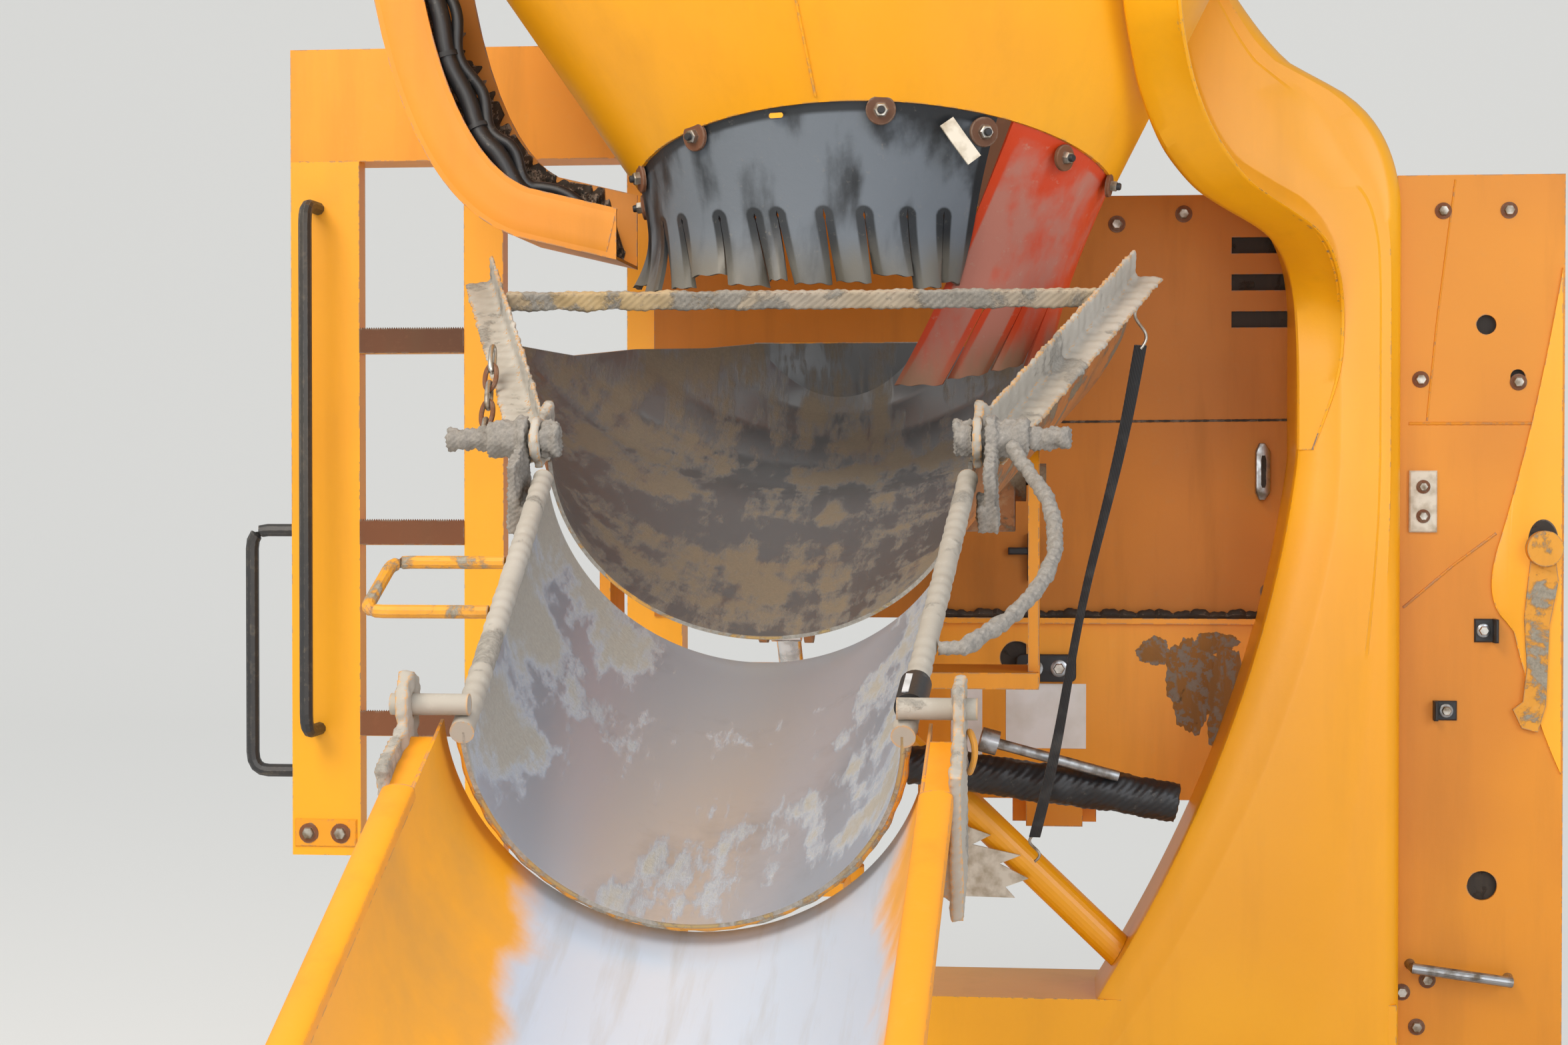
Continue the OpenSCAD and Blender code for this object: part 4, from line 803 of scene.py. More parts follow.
class DISCHARGE_OT_funnel(bpy.types.Operator):
    """Makes the rolled funnel with its rim ring and welds"""
    bl_idname = "discharge.funnel"
    bl_label = "Funnel"

    def execute(self, context):
        a = np.arange(240) * 2 * math.pi / 240
        low = low_edge(a)

        def wall(inset):
            """Rows of the wall at an inset, evenly from the arched lower edge to the top."""
            return [funnel_point(a, low + (FUNNEL_TOP_Z - low) * s, inset)
                    for s in np.linspace(0, 1, 9)]

        def rim(grow, z):
            """A row of the rim: the top's ellipse with longer axes, at a height."""
            return np.stack([FUNNEL_TOP_SHIFT + (FUNNEL_TOP_W + grow) * np.cos(a),
                             SLEW_Y + (FUNNEL_TOP_R + grow) * np.sin(a), np.full_like(a, z)], -1)

        top = FUNNEL_TOP_Z
        outer = np.stack(wall(0) + [rim(0.014, top), rim(0.018, top + 0.004),
                                    rim(0.018, top + 0.026), rim(0.014, top + 0.030)])
        inner = np.stack(wall(0.006) + [rim(-0.006, top + 0.002), rim(-0.006, top + 0.010),
                                        rim(-0.006, top + 0.024), rim(-0.002, top + 0.030)])
        piece = shell("funnel_skin", outer, inner, "pedestal", ["enamel", "rusty", "enamel_dusty"],
                      wrap_cols=True)
        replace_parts(piece, "funnel")
        # Upright weld bead at the front
        at = math.radians(-97)
        z = np.linspace(float(low_edge(np.array(at))) + 0.01, top - 0.01, 90)
        line = np.stack([funnel_point(np.array(at), v, -0.0006) for v in z])
        swept("funnel_weld", line, ring(0.0028, 8), "pedestal", ["enamel"],
              scale=1 + 0.18 * np.sin(np.arange(90) * 2.1))
        return {"FINISHED"}


# Rings of the curved arm from its top down: its left and its right edge, in mm
ARM_RINGS = np.array([
    [[527, -1425, 1750], [627, -1455, 1750]], [[534, -1340, 1569], [633, -1370, 1560]],
    [[547, -1220, 1396], [645, -1250, 1389]], [[561, -1160, 1336], [656, -1190, 1335]],
    [[575, -1090, 1278], [672, -1120, 1283]], [[599, -1030, 1221], [692, -1060, 1239]],
    [[627, -970, 1170], [716, -1000, 1198]], [[685, -870, 1114], [779, -900, 1125]],
    [[743, -790, 1087], [834, -820, 1099]], [[840, -650, 1051], [945, -680, 1047]],
    [[888, -470, 1001], [991, -500, 978]], [[909, -366, 930], [1009, -376, 912]],
    [[915, -362, 800], [1008, -368, 800]], [[916, -346, 640], [952, -349, 640]]]) / 1000
# Inner and outer edge of the side column from its foot up: x, z
COLUMN_IN_EDGE = np.concatenate([
    [(COLUMN_IN - 0.520, FOOT_Z)],
    bend((COLUMN_IN - 0.450, FOOT_Z + 0.060), (COLUMN_IN - 0.075, 0.020), (COLUMN_IN, 0.620), 40),
    bend((COLUMN_IN, 0.900), (COLUMN_IN + 0.004, 1.110), (COLUMN_IN - 0.120, 1.165), 20),
    bend((COLUMN_IN - 0.200, 1.215), (COLUMN_IN - 0.300, 1.290),
         (COLUMN_IN - 0.350, POST_TOP), 20)])
COLUMN_OUT_EDGE = np.concatenate([
    [(COLUMN_X, FOOT_Z), (COLUMN_X, 0.20)],
    bend((COLUMN_X, 1.130), (COLUMN_X - 0.010, 1.300), (COLUMN_X - 0.130, 1.370), 20),
    bend((COLUMN_X - 0.220, 1.420), (COLUMN_X - 0.290, 1.480), (0.740, POST_TOP), 14)])


class DISCHARGE_OT_column(bpy.types.Operator):
    """Makes the pressed side column, its curved arm and the plates behind the slots"""
    bl_idname = "discharge.column"
    bl_label = "Side column and arm"

    def execute(self, context):
        # From foot to top: the inner edge, the outer edge beside it, and the pressed crease
        n = 120
        edge = along(COLUMN_IN_EDGE, n)
        far = np.stack([np.interp(edge[:, 1], COLUMN_OUT_EDGE[:, 1], COLUMN_OUT_EDGE[:, 0]),
                        edge[:, 1]], -1)
        wide = np.minimum(0.096, 0.42 * (far[:, 0] - edge[:, 0]))
        crease = wide + 0.006 * np.sin(np.clip((edge[:, 1] + 0.3) / 0.9, 0, 1) * math.pi)

        def row(x, y):
            """The column's points at one place of its section, from foot to top."""
            return np.stack([x, np.full(n, y), edge[:, 1]], -1)

        def rows(inset):
            """The section's points from the inner edge's back to the outer edge's back.

            Each pair is a place across and one in depth. Across, it is in turn a distance from
            the inner edge, a share of the way to the crease, a share of the way from there to
            the outer edge, and a distance from that edge. The last two lie behind the face.
            """
            back, face = COLUMN_FRONT + 0.250, COLUMN_FRONT + inset
            span = far[:, 0] - edge[:, 0] - crease
            made = [row(edge[:, 0] + inset + x, y + inset * (y < back)) for x, y in (
                (0.0, back), (0.0, -0.300), (0.0, -0.330), (0.003, -0.338), (0.010, -0.342))]
            made += [row(edge[:, 0] + crease * s, y + inset) for s, y in (
                (0.5, -0.3475), (0.90, -0.3535), (0.97, -0.3554), (1.04, -0.356))]
            made += [row(edge[:, 0] + crease + span * s * 0.98, face + drop) for s, drop in (
                (0.35, 0.0), (0.62, 0.0), (0.66, 0.004), (0.74, 0.004))]
            made += [row(far[:, 0] - np.minimum(x, 0.2 * span) - inset, face + y) for x, y in (
                (0.034, 0.004), (0.022, 0.009), (0.010, 0.020), (0.002, 0.036), (0.0, 0.060))]
            return np.stack(made + [row(far[:, 0] - inset, back)], 1)

        piece = shell("pressed_column", rows(0.0), rows(0.007), "pedestal",
                      ["enamel", "enamel_dusty", "enamel"], smooth=28.0)
        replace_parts(piece, "side_column")
        # The arm's two edges: straight lines from ring to ring, smoothed 14 times
        runs = np.arange(len(ARM_RINGS))
        fine = np.linspace(0, runs[-1], 110)
        left, right = (np.stack([np.interp(fine, runs, ARM_RINGS[:, k, c]) for c in range(3)], -1)
                       for k in (0, 1))
        for _ in range(14):
            for line in (left, right):
                line[1:-1] = 0.5 * line[1:-1] + 0.25 * (line[:-2] + line[2:])
        # Depth of the turned left edge and of the folded right one, which shrink at the foot
        turn = np.interp(fine, [0, 10, 11, 13], [0.028, 0.028, 0.010, 0.009])
        fold = np.interp(fine, [0, 10, 11, 13], [0.060, 0.060, 0.019, 0.019])

        def across(inset):
            """The section's points from the left edge's back, over the face, to the right's."""
            made = []
            push = np.array([0, 1.0, 0])
            side = np.array([1.0, 0, 0])
            for x, y in ((0, turn[:, None]), (0, 0.009), (0.001, 0.004), (0.005, 0.0)):
                made.append(left + side * (x + inset) + push * y + push * inset * (x > 0))
            for s in (0.30, 0.60, 0.90):
                made.append(left + (right - left) * s
                            + push * (inset + 0.0015 * math.sin(3.14 * s)))
            for x, y in ((0.007, 0.0), (0.002, 0.002), (0.0, 0.008)):
                made.append(right - side * (x + inset) + push * (y + inset * (x > 0.001)))
            made.append(right - side * inset + push * fold[:, None])
            return np.stack(made, 1)

        piece = shell("curved_arm", across(0.0), across(0.006), "pedestal", ["enamel"] * 3,
                      smooth=28.0)
        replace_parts(piece, "right_arm")
        # Dark plates behind the cooling slots and the side plate's holes, painted shade where the
        # openings look into the dark: x0, x1, y, z0, z1
        parts = []
        for x0, x1, y, z0, z1 in ((0.785, 0.945, -0.096, 0.880, 1.110),
                                  (0.300, 0.400, -0.096, 0.150, 0.250),
                                  (1.270, 1.340, -0.238, 0.860, 0.930),
                                  (1.345, 1.390, -0.238, 0.765, 0.812),
                                  (1.262, 1.338, -0.238, -0.288, -0.212)):
            a = np.array([(x0, y, z0), (x1, y, z0), (x1, y, z1), (x0, y, z1)])
            b = a + (0, 0.006, 0)
            parts.append((np.concatenate([a, b]), [[0, 1, 2, 3], [7, 6, 5, 4], [0, 4, 5, 1],
                                                   [1, 5, 6, 2], [2, 6, 7, 3], [3, 7, 4, 0]], 0))
        joined("slot_backing", parts, "pedestal", ["dark_gunk_and_shade"])
        return {"FINISHED"}


class DISCHARGE_OT_gutter(bpy.types.Operator):
    """Makes the curved gutter's rounded front edge, its hoses and the dried dirt inside"""
    bl_idname = "discharge.gutter"
    bl_label = "Gutter"

    def execute(self, context):
        tail = BOOT_R + 0.008 + 0.044
        left = FUNNEL_TOP_W - FUNNEL_TOP_SHIFT + 0.018
        line = np.concatenate([
            bend((left + 0.052, FUNNEL_TOP_Z - 0.110), (left - 0.008, FUNNEL_LOW_Z - 0.007),
                 (tail + 0.190, FUNNEL_LOW_Z - 0.087), 50), [(tail + 0.01, FUNNEL_LOW_Z - 0.130)]])
        line = along(line, 90)
        ahead = np.gradient(line, axis=0)
        ahead /= np.linalg.norm(ahead, axis=1)[:, None]
        inward = np.stack([ahead[:, 1], -ahead[:, 0]], -1)
        if inward[0, 0] > 0:
            inward = -inward
        # The gutter and its rounded face take the darker enamel: painted shade on a face that the
        # lamps light brightly
        give("left_gutter", "painted_shade_enamel")
        front, back = SLEW_Y - 0.094, SLEW_Y + 0.144
        # A rounded face over the front flange
        rows = len(line)
        lift = np.linspace(0.0, 0.0925, 7)
        skin = line[:, None] + inward[:, None] * lift[None, :, None]
        edge = np.where((lift < 0.004) | (lift > 0.090), 0.0035, 0.0)
        face = np.stack([-skin[..., 0], np.broadcast_to(front - 0.0072 + edge, skin.shape[:2]),
                         skin[..., 1]], -1)
        rear = face.copy()
        rear[..., 1] = front - 0.0005
        shell("gutter_face", face[2:-1], rear[2:-1], "pedestal",
              ["painted_shade_enamel"] * 3, smooth=60.0)
        # Two sleeved hoses lie behind the front flange and dip into dried dirt lower down
        run = np.linspace(0, 1, rows)
        for name, inset, y, r, wave in (("gutter_hose", 0.108, front + 0.020, 0.0175, 0.004),
                                        ("gutter_hose_thin", 0.132, front + 0.030, 0.011, 0.009)):
            away = inset - 0.050 * np.clip((run - 0.62) / 0.3, 0, 1) + wave * np.sin(run * 31)
            centre = line + inward * away[:, None]
            hose = np.stack([-centre[:, 0], y + 0.004 * np.sin(run * 17), centre[:, 1]], -1)
            swept(name, even(hose[2:86], 0.006), ring(r, 16), "pedestal", ["hose_rubber"],
                  ref=(0, 1, 0))
            if name == "gutter_hose":
                for k in (12, 30, 47):
                    tie = even(hose[k:k + 2], 0.003)
                    swept("hose_tie_%d" % k, tie, ring(r + 0.0035, 16), "pedestal", ["cap"],
                          ref=(0, 1, 0))
        if context.scene.discharge_unit.gunk:
            n, cols = 220, 66
            at = along(line[2:88], n)
            side = along(inward[2:88], n)
            side /= np.linalg.norm(side, axis=1)[:, None]
            r, c = np.meshgrid(np.linspace(0, 1, n), np.linspace(0, 1, cols), indexing="ij")
            # Way round the channel: front flange down, wall across, back flange up
            climb = (0.060 + 0.085 * np.clip((r - 0.10) / 0.45, 0, 1)
                     + 0.018 * np.sin(r * 39) * np.sin(r * 91) + 0.010 * np.sin(r * 171))
            climb = np.clip(climb, 0.02, 0.139) * np.clip((1.02 - r) * 9, 0.2, 1)
            share = np.clip(c / 0.25, 0, 1), np.clip((c - 0.25) / 0.30, 0, 1), np.clip(
                (c - 0.55) / 0.45, 0, 1)
            up = 0.084 * (1 - share[0]) + climb * share[2]
            deep = front + 0.001 + (back - front - 0.002) * share[1]
            out_y = np.interp(c, [0, 0.20, 0.30, 0.50, 0.60, 1], [1, 1, 0.3, -0.3, -1, -1])
            out_v = np.sqrt(1 - np.clip(np.abs(out_y), 0, 1) ** 2)
            lump = (0.5 + 0.22 * np.sin(r * 83 + 4 * np.sin(c * 9)) + 0.22 * np.sin(r * 37 - c * 17)
                    + 0.20 * np.sin(r * 191 + c * 47) * np.sin(c * 61 + 2 * r)
                    + 0.12 * np.sin(r * 347 - c * 97))
            fill = 0.25 + 0.75 * np.clip((r - 0.25) / 0.4, 0, 1)
            thick = (0.003 + 0.026 * np.clip(lump, 0, 1) * fill) * np.clip(
                np.minimum(c, 1 - c) * 14, 0.04, 1) * np.clip(np.minimum(r, 1 - r) * 30, 0.05, 1)

            def laid(push):
                """The channel's inside, pushed off its walls by the dirt's thickness."""
                v = 0.0012 + up + out_v * push
                flat = at[:, None] + side[:, None] * v[..., None]
                return np.stack([-flat[..., 0], deep + out_y * push, flat[..., 1]], -1)

            shell("gutter_dirt", laid(thick), laid(np.full_like(thick, 0.0002)), "pedestal",
                  ["dark_gunk_and_shade"] * 3, smooth=60.0)
        return {"FINISHED"}


def boot_sheet(name, b0, b1, lap, middle, r, a0, a1, low, rise, ends, slit, curl, finishes,
               replaced, seed=7):
    """A boot slit into fingers, one strip of the sheet for each finger between two of the ends.

    A point runs from the foot ring up to the funnel's edge and then up the funnel's wall. Below
    the slit's head, a finger twists, curls and swings out of the sheet by amounts that grow with
    the share of the slit below that head to the 1.7, and its end rises with it to the 1.5. Each
    side draws back from the slit's middle by 0.8 mm at the head and 2.4 to 6.3 mm at the foot,
    and the head is a round hole of about 4 mm radius.

    In degrees, it runs from b0 to b1 round the funnel's edge, with its lap above, and from a0 to
    a1 round a foot ring of radius r about the middle. The foot's height is low, and rise more at
    a1. The ends are shares of the way round, and slit is the depth of each slit.
    """
    foot_rows, lap_rows, across = 44, 5, 17
    thick, gap, wall_t = 0.008, 0.0008, 0.006
    rng = np.random.default_rng(seed)
    grids, edges, tips = [], [], []
    last = len(ends) - 2
    for k in range(last + 1):
        side = np.linspace(-1, 1, across)
        side = np.sign(side) * np.abs(side) ** 0.8
        wide = (ends[k + 1] - ends[k]) * math.radians(a1 - a0) * r
        tilt = rng.uniform(-1, 1)
        drop, push, twist = rng.uniform(0.0, 0.024), rng.uniform(-0.2, 1.0), rng.uniform(-1, 1)
        spread = rng.uniform(0.0016, 0.0055)
        keeps = np.where(side < 0, float(k > 0), float(k < last))
        sheets = []
        for out in (1.0, 0.0):
            rows = []
            for t in np.linspace(0, 1, foot_rows):
                u0 = ends[k] + (side * 0.5 + 0.5) * (ends[k + 1] - ends[k])
                b = np.radians(b0 + (b1 - b0) * u0)
                edge = funnel_point(b, low_edge(b), wall_t + gap + (1 - out) * thick)
                tall = edge[:, 2] - (low + rise * u0 * u0)
                down = np.clip(1 - t * tall / slit, 0, 1)
                hole = 0.0042 * np.sqrt(np.clip(1 - ((t * tall - slit) / 0.0045) ** 2, 0, 1))
                cut = np.where(down > 0, 0.0008 + spread * down, 0) + hole
                pull = keeps * np.abs(side) ** 3 * cut / (wide * 0.5)
                u = ends[k] + (side * (1 - pull) * 0.5 + 0.5) * (ends[k + 1] - ends[k])
                a = np.radians(a0 + (a1 - a0) * u)
                foot = np.stack([middle[0] + (r + out * thick) * np.cos(a),
                                 SLEW_Y + middle[1] + (r + out * thick) * np.sin(a),
                                 low + rise * u * u], -1)
                lower = (drop + tilt * 0.004 * side + 0.0016 * np.sin(side * 7 + k)) * down ** 1.5
                normal = np.stack([np.cos(a), np.sin(a), np.zeros_like(a)], -1)
                bulge = 0.010 * math.sin(math.pi * t)
                move = curl * down ** 1.7 * (0.8 * push + 0.55 * twist * side
                                             - 0.45 * (side ** 2 - 0.33)) - bulge
                rows.append(foot + (edge - foot) * t + normal * move[:, None]
                            + lower[:, None] * np.array([0, 0, 1.0]))
                if out == 1.0:
                    from_cut = (1 - np.abs(side)) * wide * 0.5
                    over = np.hypot(from_cut, keeps * np.clip(t * tall - slit, 0, None))
                    from_top = (1 - t) * tall + 0.010
                    edges.append(np.clip(np.minimum(over / 0.024, from_top / 0.042), 0, 1))
                    tips.append(down)
            for row in range(1, lap_rows + 1):
                up = low_edge(b) + lap * row / lap_rows
                rows.append(funnel_point(b, up, wall_t + gap + (1 - out) * thick))
                if out == 1.0:
                    edges.append(np.zeros(across))
                    tips.append(np.zeros(across))
            sheets.append(np.stack(rows))
        grids.append(sheets)
    points, faces, kinds, start, value, dust = [], [], [], 0, [], []
    rows_each = foot_rows + lap_rows
    for k, (outer, inner) in enumerate(grids):
        rows, cols = outer.shape[:2]
        f, kind = shell_faces(rows, cols)
        both = np.concatenate([outer.reshape(-1, 3), inner.reshape(-1, 3)])
        if not facing(both, f):
            f = f[:, ::-1]
        points.append(both)
        faces.append(f + start)
        kinds.append(kind)
        one = slice(k * rows_each, (k + 1) * rows_each)
        value += [np.concatenate(edges[one]), np.zeros(rows * cols)]
        dust += [np.concatenate(tips[one]), np.concatenate(tips[one])]
        start += len(both)
    piece = make_piece(name, np.concatenate(points), np.concatenate(faces), "pedestal", finishes,
                       np.concatenate(kinds), 50.0)
    for label, values in (("edge", value), ("tip", dust)):
        piece.data.attributes.new(label, "FLOAT", "POINT").data.foreach_set(
            "value", np.concatenate(values).astype(np.float32))
    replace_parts(piece, replaced)
    return piece


# Ends of the front boot's fingers, as shares of its way round
FRONT_SLITS = (0, 0.125, 0.247, 0.329, 0.442, 0.526, 0.575, 0.67, 0.75, 0.839, 0.92, 1.0)


class DISCHARGE_OT_boots(bpy.types.Operator):
    """Makes the slit rubber boots, their clamp bolts, the metal strip and the unused slot"""
    bl_idname = "discharge.boots"
    bl_label = "Rubber boots"

    def execute(self, context):
        curl = context.scene.discharge_unit.curl
        boot_sheet("front_boot_sheet", b0=-179, b1=-60, lap=0.045, middle=(0, 0), r=BOOT_R,
                   a0=-178, a1=-32, low=BOOT_LOW_Z, rise=0, ends=FRONT_SLITS, slit=0.125,
                   curl=curl, finishes=["black_rubber"] * 3, replaced="front_boot")
        boot_sheet("side_boot_sheet", b0=-56, b1=-3, lap=0.045, middle=(0.250, 0.090), r=0.180,
                   a0=-125, a1=-25, low=0.745, rise=0.060, ends=(0, 0.30, 0.55, 0.78, 1.0),
                   slit=0.135, curl=0.6 * curl, finishes=["orange_rubber"] * 3,
                   replaced="side_boot", seed=3)
        parts = []
        # Clamp bolts: place round the funnel in degrees, height over its lower edge, and size
        for a, up, r in ((-126.5, -0.012, 1.0), (-84.5, -0.014, 1.0), (-63.0, -0.030, 1.0),
                         (-156, -0.014, 1.0), (-177, -0.030, 0.9), (-40, -0.026, 0.9),
                         (-14, -0.016, 0.8)):
            b = np.radians(np.array([a, a + 1.0]))
            edge = funnel_point(b, low_edge(b), 0.006)
            near = edge[0]
            along_edge = edge[1] - edge[0]
            out = np.array([math.cos(b[0]), math.sin(b[0]), -0.12])
            out -= along_edge * np.dot(out, along_edge) / np.dot(along_edge, along_edge)
            out /= np.linalg.norm(out)
            at = near + (0, 0, up) + out * (0.004 if up > -0.02 else -0.003)
            parts += [(*turned(at, out, [(0.026 * r, -0.004), (0.026 * r, 0.0015),
                                         (0.0245 * r, 0.0028), (0.011, 0.0028)], 28), 1),
                      (*turned(at + out * 0.0028, out, [(0.0125 * r, 0), (0.0125 * r, 0.009),
                                                        (0.0108 * r, 0.011), (0.007, 0.011)],
                               24, first_n=6), 0),
                      (*turned(at + out * 0.0138, out, [(0.0068, -0.004), (0.0068, 0.005),
                                                        (0.0056, 0.007), (0.002, 0.0072)], 16), 2)]
        joined("boot_bolts", parts, "pedestal", ["zinc", "rusty", "cap"])
        # Metal strip pressed on the boot at the right, and an unused slot in it
        b = math.radians(-69)
        top = funnel_point(np.array([b]), low_edge(np.array([b])), 0.0)[0]
        out = np.array([math.cos(b), math.sin(b), 0.0])
        path = np.array([top + (-0.022, 0, -0.022), top + (0.0, 0, -0.052),
                         top + (0.028, 0, -0.088)])
        path += out * np.array([[0.003], [0.0], [-0.004]])
        swept("boot_strip", even(path, 0.006), flat_bar(0.014, 0.002), "pedestal", ["pad"],
              ref=out)
        b = math.radians(-105.5)
        slot = funnel_point(np.array([b]), low_edge(np.array([b])), 0.006)[0] + (0, 0, -0.014)
        out = np.array([math.cos(b), math.sin(b), 0.0])
        round_x = np.array([math.cos(t) * 0.004 + (0.009 if math.cos(t) > 0 else -0.009)
                            for t in np.arange(20) * math.pi / 10])
        round_z = np.sin(np.arange(20) * math.pi / 10) * 0.0045
        across = np.array([-math.sin(b), math.cos(b), 0.0])
        flat = slot + out * 0.0046 + round_x[:, None] * across + round_z[:, None] * (0, 0, 1.0)
        joined("boot_slot", [(flat, [list(range(20))], 0)], "pedestal", ["enamel"])
        return {"FINISHED"}


# Heights of the rungs' middles, and the rungs' ends
RUNGS = (0.054, 0.464, 0.874)
RUNG_X0, RUNG_X1 = -1.052, -0.824
# Stations of the main trough: place up the slope, half width, depth, top edge below the rims
STATIONS = np.array([
    [0.020, 0.310, 0.285, 0.0], [0.860, 0.560, 0.400, 0.0], [0.950, 0.575, 0.425, 0.140],
    [1.152, 0.560, 0.460, 0.230], [1.302, 0.480, 0.460, 0.270], [1.392, 0.350, 0.440, 0.300],
    [1.432, 0.240, 0.420, 0.305]])
TROUGH_T = 0.006


def trough_grid(grow, steps=9, n=97):
    """Half ellipses at stations joined by straight lines, with each top edge cut at its height."""
    k = np.arange((len(STATIONS) - 1) * steps + 1) / steps
    s = np.stack([np.interp(k, np.arange(len(STATIONS)), STATIONS[:, c]) for c in range(4)], -1)
    a, d = s[:, 1] + grow, s[:, 2] + grow
    t0 = np.arcsin(s[:, 3] / d)
    t = math.pi - t0[:, None] - (math.pi - 2 * t0)[:, None] * np.linspace(0, 1, n)
    x, w = a[:, None] * np.cos(t), -d[:, None] * np.sin(t)
    return in_chute(x, np.broadcast_to(s[:, :1], x.shape), w)


def half_round(y1, r1, y0, r0, rows, n=97):
    """Half circles that taper along the slope from radius r1 at y1 to r0 at y0."""
    y = np.linspace(y1, y0, rows)[:, None]
    r = np.interp(y, [y0, y1], [r0, r1])
    t = np.linspace(math.pi, 2 * math.pi, n)
    return in_chute(r * np.cos(t), np.broadcast_to(y, (rows, n)), r * np.sin(t))


class DISCHARGE_OT_main_chute(bpy.types.Operator):
    """Makes the main trough, its crusted rails and crossbar"""
    bl_idname = "discharge.main_chute"
    bl_label = "Main chute"

    def execute(self, context):
        outer, inner = trough_grid(TROUGH_T), trough_grid(0.0)
        end_out = outer[-1]
        way = np.array([0, math.cos(SLOPE), math.sin(SLOPE)]) * TROUGH_T
        finishes = ["orange_paint", "trough", "crust"]
        made = [shell("main_trough_skin", outer, inner, "main_chute", finishes)]
        # The end plate, in two halves: each side of the last outline, drawn in to its middle
        u = np.linspace(0, 1, 9)[:, None, None]
        for name, line in (("main_trough_end", end_out), ("main_trough_end_right", end_out[::-1])):
            half = line[None] * (1 - 0.5 * u) + line[None, ::-1] * 0.5 * u
            half = half[:, :len(line) // 2 + 1]
            made.append(shell(name, half + way, half, "main_chute", finishes))
        for piece in made:
            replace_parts(piece, "main_trough")
        rough_copy("crusted_rails", ["main_rails"], "main_chute", "cement_film", 0.005, 0.0022,
                   0.05, 1.0)
        rough_copy("crusted_crossbar", ["crossbar"], "main_chute", "bar_film", 0.0035, 0.0028,
                   0.040, 2.0)
        rough_copy("crusted_hinge_bolts", ["hinge_bolts"], "main_chute", "rim_crust", 0.003, 0.005,
                   0.024, 3.0)
        return {"FINISHED"}


# The fold-over chute's top end and length down the slope, and its radii at the end and the joint
FOLD_TOP, FOLD_LEN, FOLD_END_R, JOINT_R = -0.020, 0.850, 0.260, 0.310


class DISCHARGE_OT_foldover(bpy.types.Operator):
    """Makes the fold-over chute's shell, rim bars, end lip, ears, sleeve and handles"""
    bl_idname = "discharge.foldover"
    bl_label = "Fold-over chute"

    def execute(self, context):
        outer = half_round(FOLD_TOP, JOINT_R + 0.006, -FOLD_LEN, FOLD_END_R + 0.006, 40)
        inner = half_round(FOLD_TOP, JOINT_R, -FOLD_LEN, FOLD_END_R, 40)
        skin = shell("foldover_skin", outer, inner, "foldover", ["enamel_crusted", "fold", "crust"])
        parts = [skin]
        turn = math.atan((JOINT_R - FOLD_END_R) / (FOLD_LEN + FOLD_TOP))
        for side, name in ((-1, "left"), (1, "right")):
            y = np.linspace(-0.045, -FOLD_LEN, 180)
            x = side * (JOINT_R + 0.003 + (y - FOLD_TOP) * math.tan(turn))
            lump = 1 + 0.05 * np.sin(y * 61 + side) * np.sin(y * 143) + 0.03 * np.sin(y * 233)
            parts.append(swept(name + "_rim_bar", in_chute(x, y, np.zeros_like(y)),
                               ring(0.0145, 20), "foldover", ["cement_film"], ref=(1, 0, 0),
                               scale=lump))
        # Lip weld round the lower end
        t = np.linspace(math.pi, 2 * math.pi, 120)
        r = FOLD_END_R + 0.007 + 0.0012 * np.sin(t * 37) * np.sin(t * 11)
        parts.append(swept("end_lip", in_chute(r * np.cos(t), np.full_like(t, -FOLD_LEN + 0.006),
                                               r * np.sin(t)),
                           ring(0.0055, 10), "foldover", ["enamel_crusted"], ref=(0, -1, -0.4)))
        for piece in parts:
            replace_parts(piece, "foldover_chute")
        rough_copy("crusted_ears", ["foldover_ears"], "foldover", "rim_crust", 0.003, 0.004, 0.028,
                   4.0)
        # Rubber sleeve with a pale stripe, pushed on the right rim bar
        y = np.linspace(-0.715, -0.780, 12)
        x = JOINT_R + 0.003 + (y - FOLD_TOP) * math.tan(turn)
        sleeve = in_chute(x, y, np.full_like(y, 0.002))
        swept("rim_sleeve", sleeve, ring(0.0195, 24), "foldover", ["hose_rubber"], ref=(1, 0, 0))
        stripe = in_chute(x - 0.006, y, np.full_like(y, 0.0212))
        swept("sleeve_stripe", stripe[2:-1], flat_bar(0.004, 0.001), "foldover", ["white_mark"],
              ref=(0, 0, 1))
        rough_copy("crusted_right_handle", ["right_handle"], "foldover", "rim_crust", 0.003, 0.003,
                   0.03, 5.0)
        give("left_handle", "enamel_crusted")
        give("end_hooks", "cement_film")
        return {"FINISHED"}


# The extension along the slope from the hinge line, its radii, and its sheet
EXT_TOP, EXT_END, EXT_TOP_R, EXT_END_R, EXT_T = -0.815, -2.035, 0.292, 0.272, 0.004
EXT_FLANGE_TOP, FLANGE_ROWS = EXT_TOP - 0.175, 40
# Ribs between hook plate and shell: along the slope, place across, and half width and height
RIB_LOW, RIB_HIGH, RIB_X, RIB_HALF, RIB_THIN = -0.994, -0.860, 0.30825, 0.01575, 0.0025


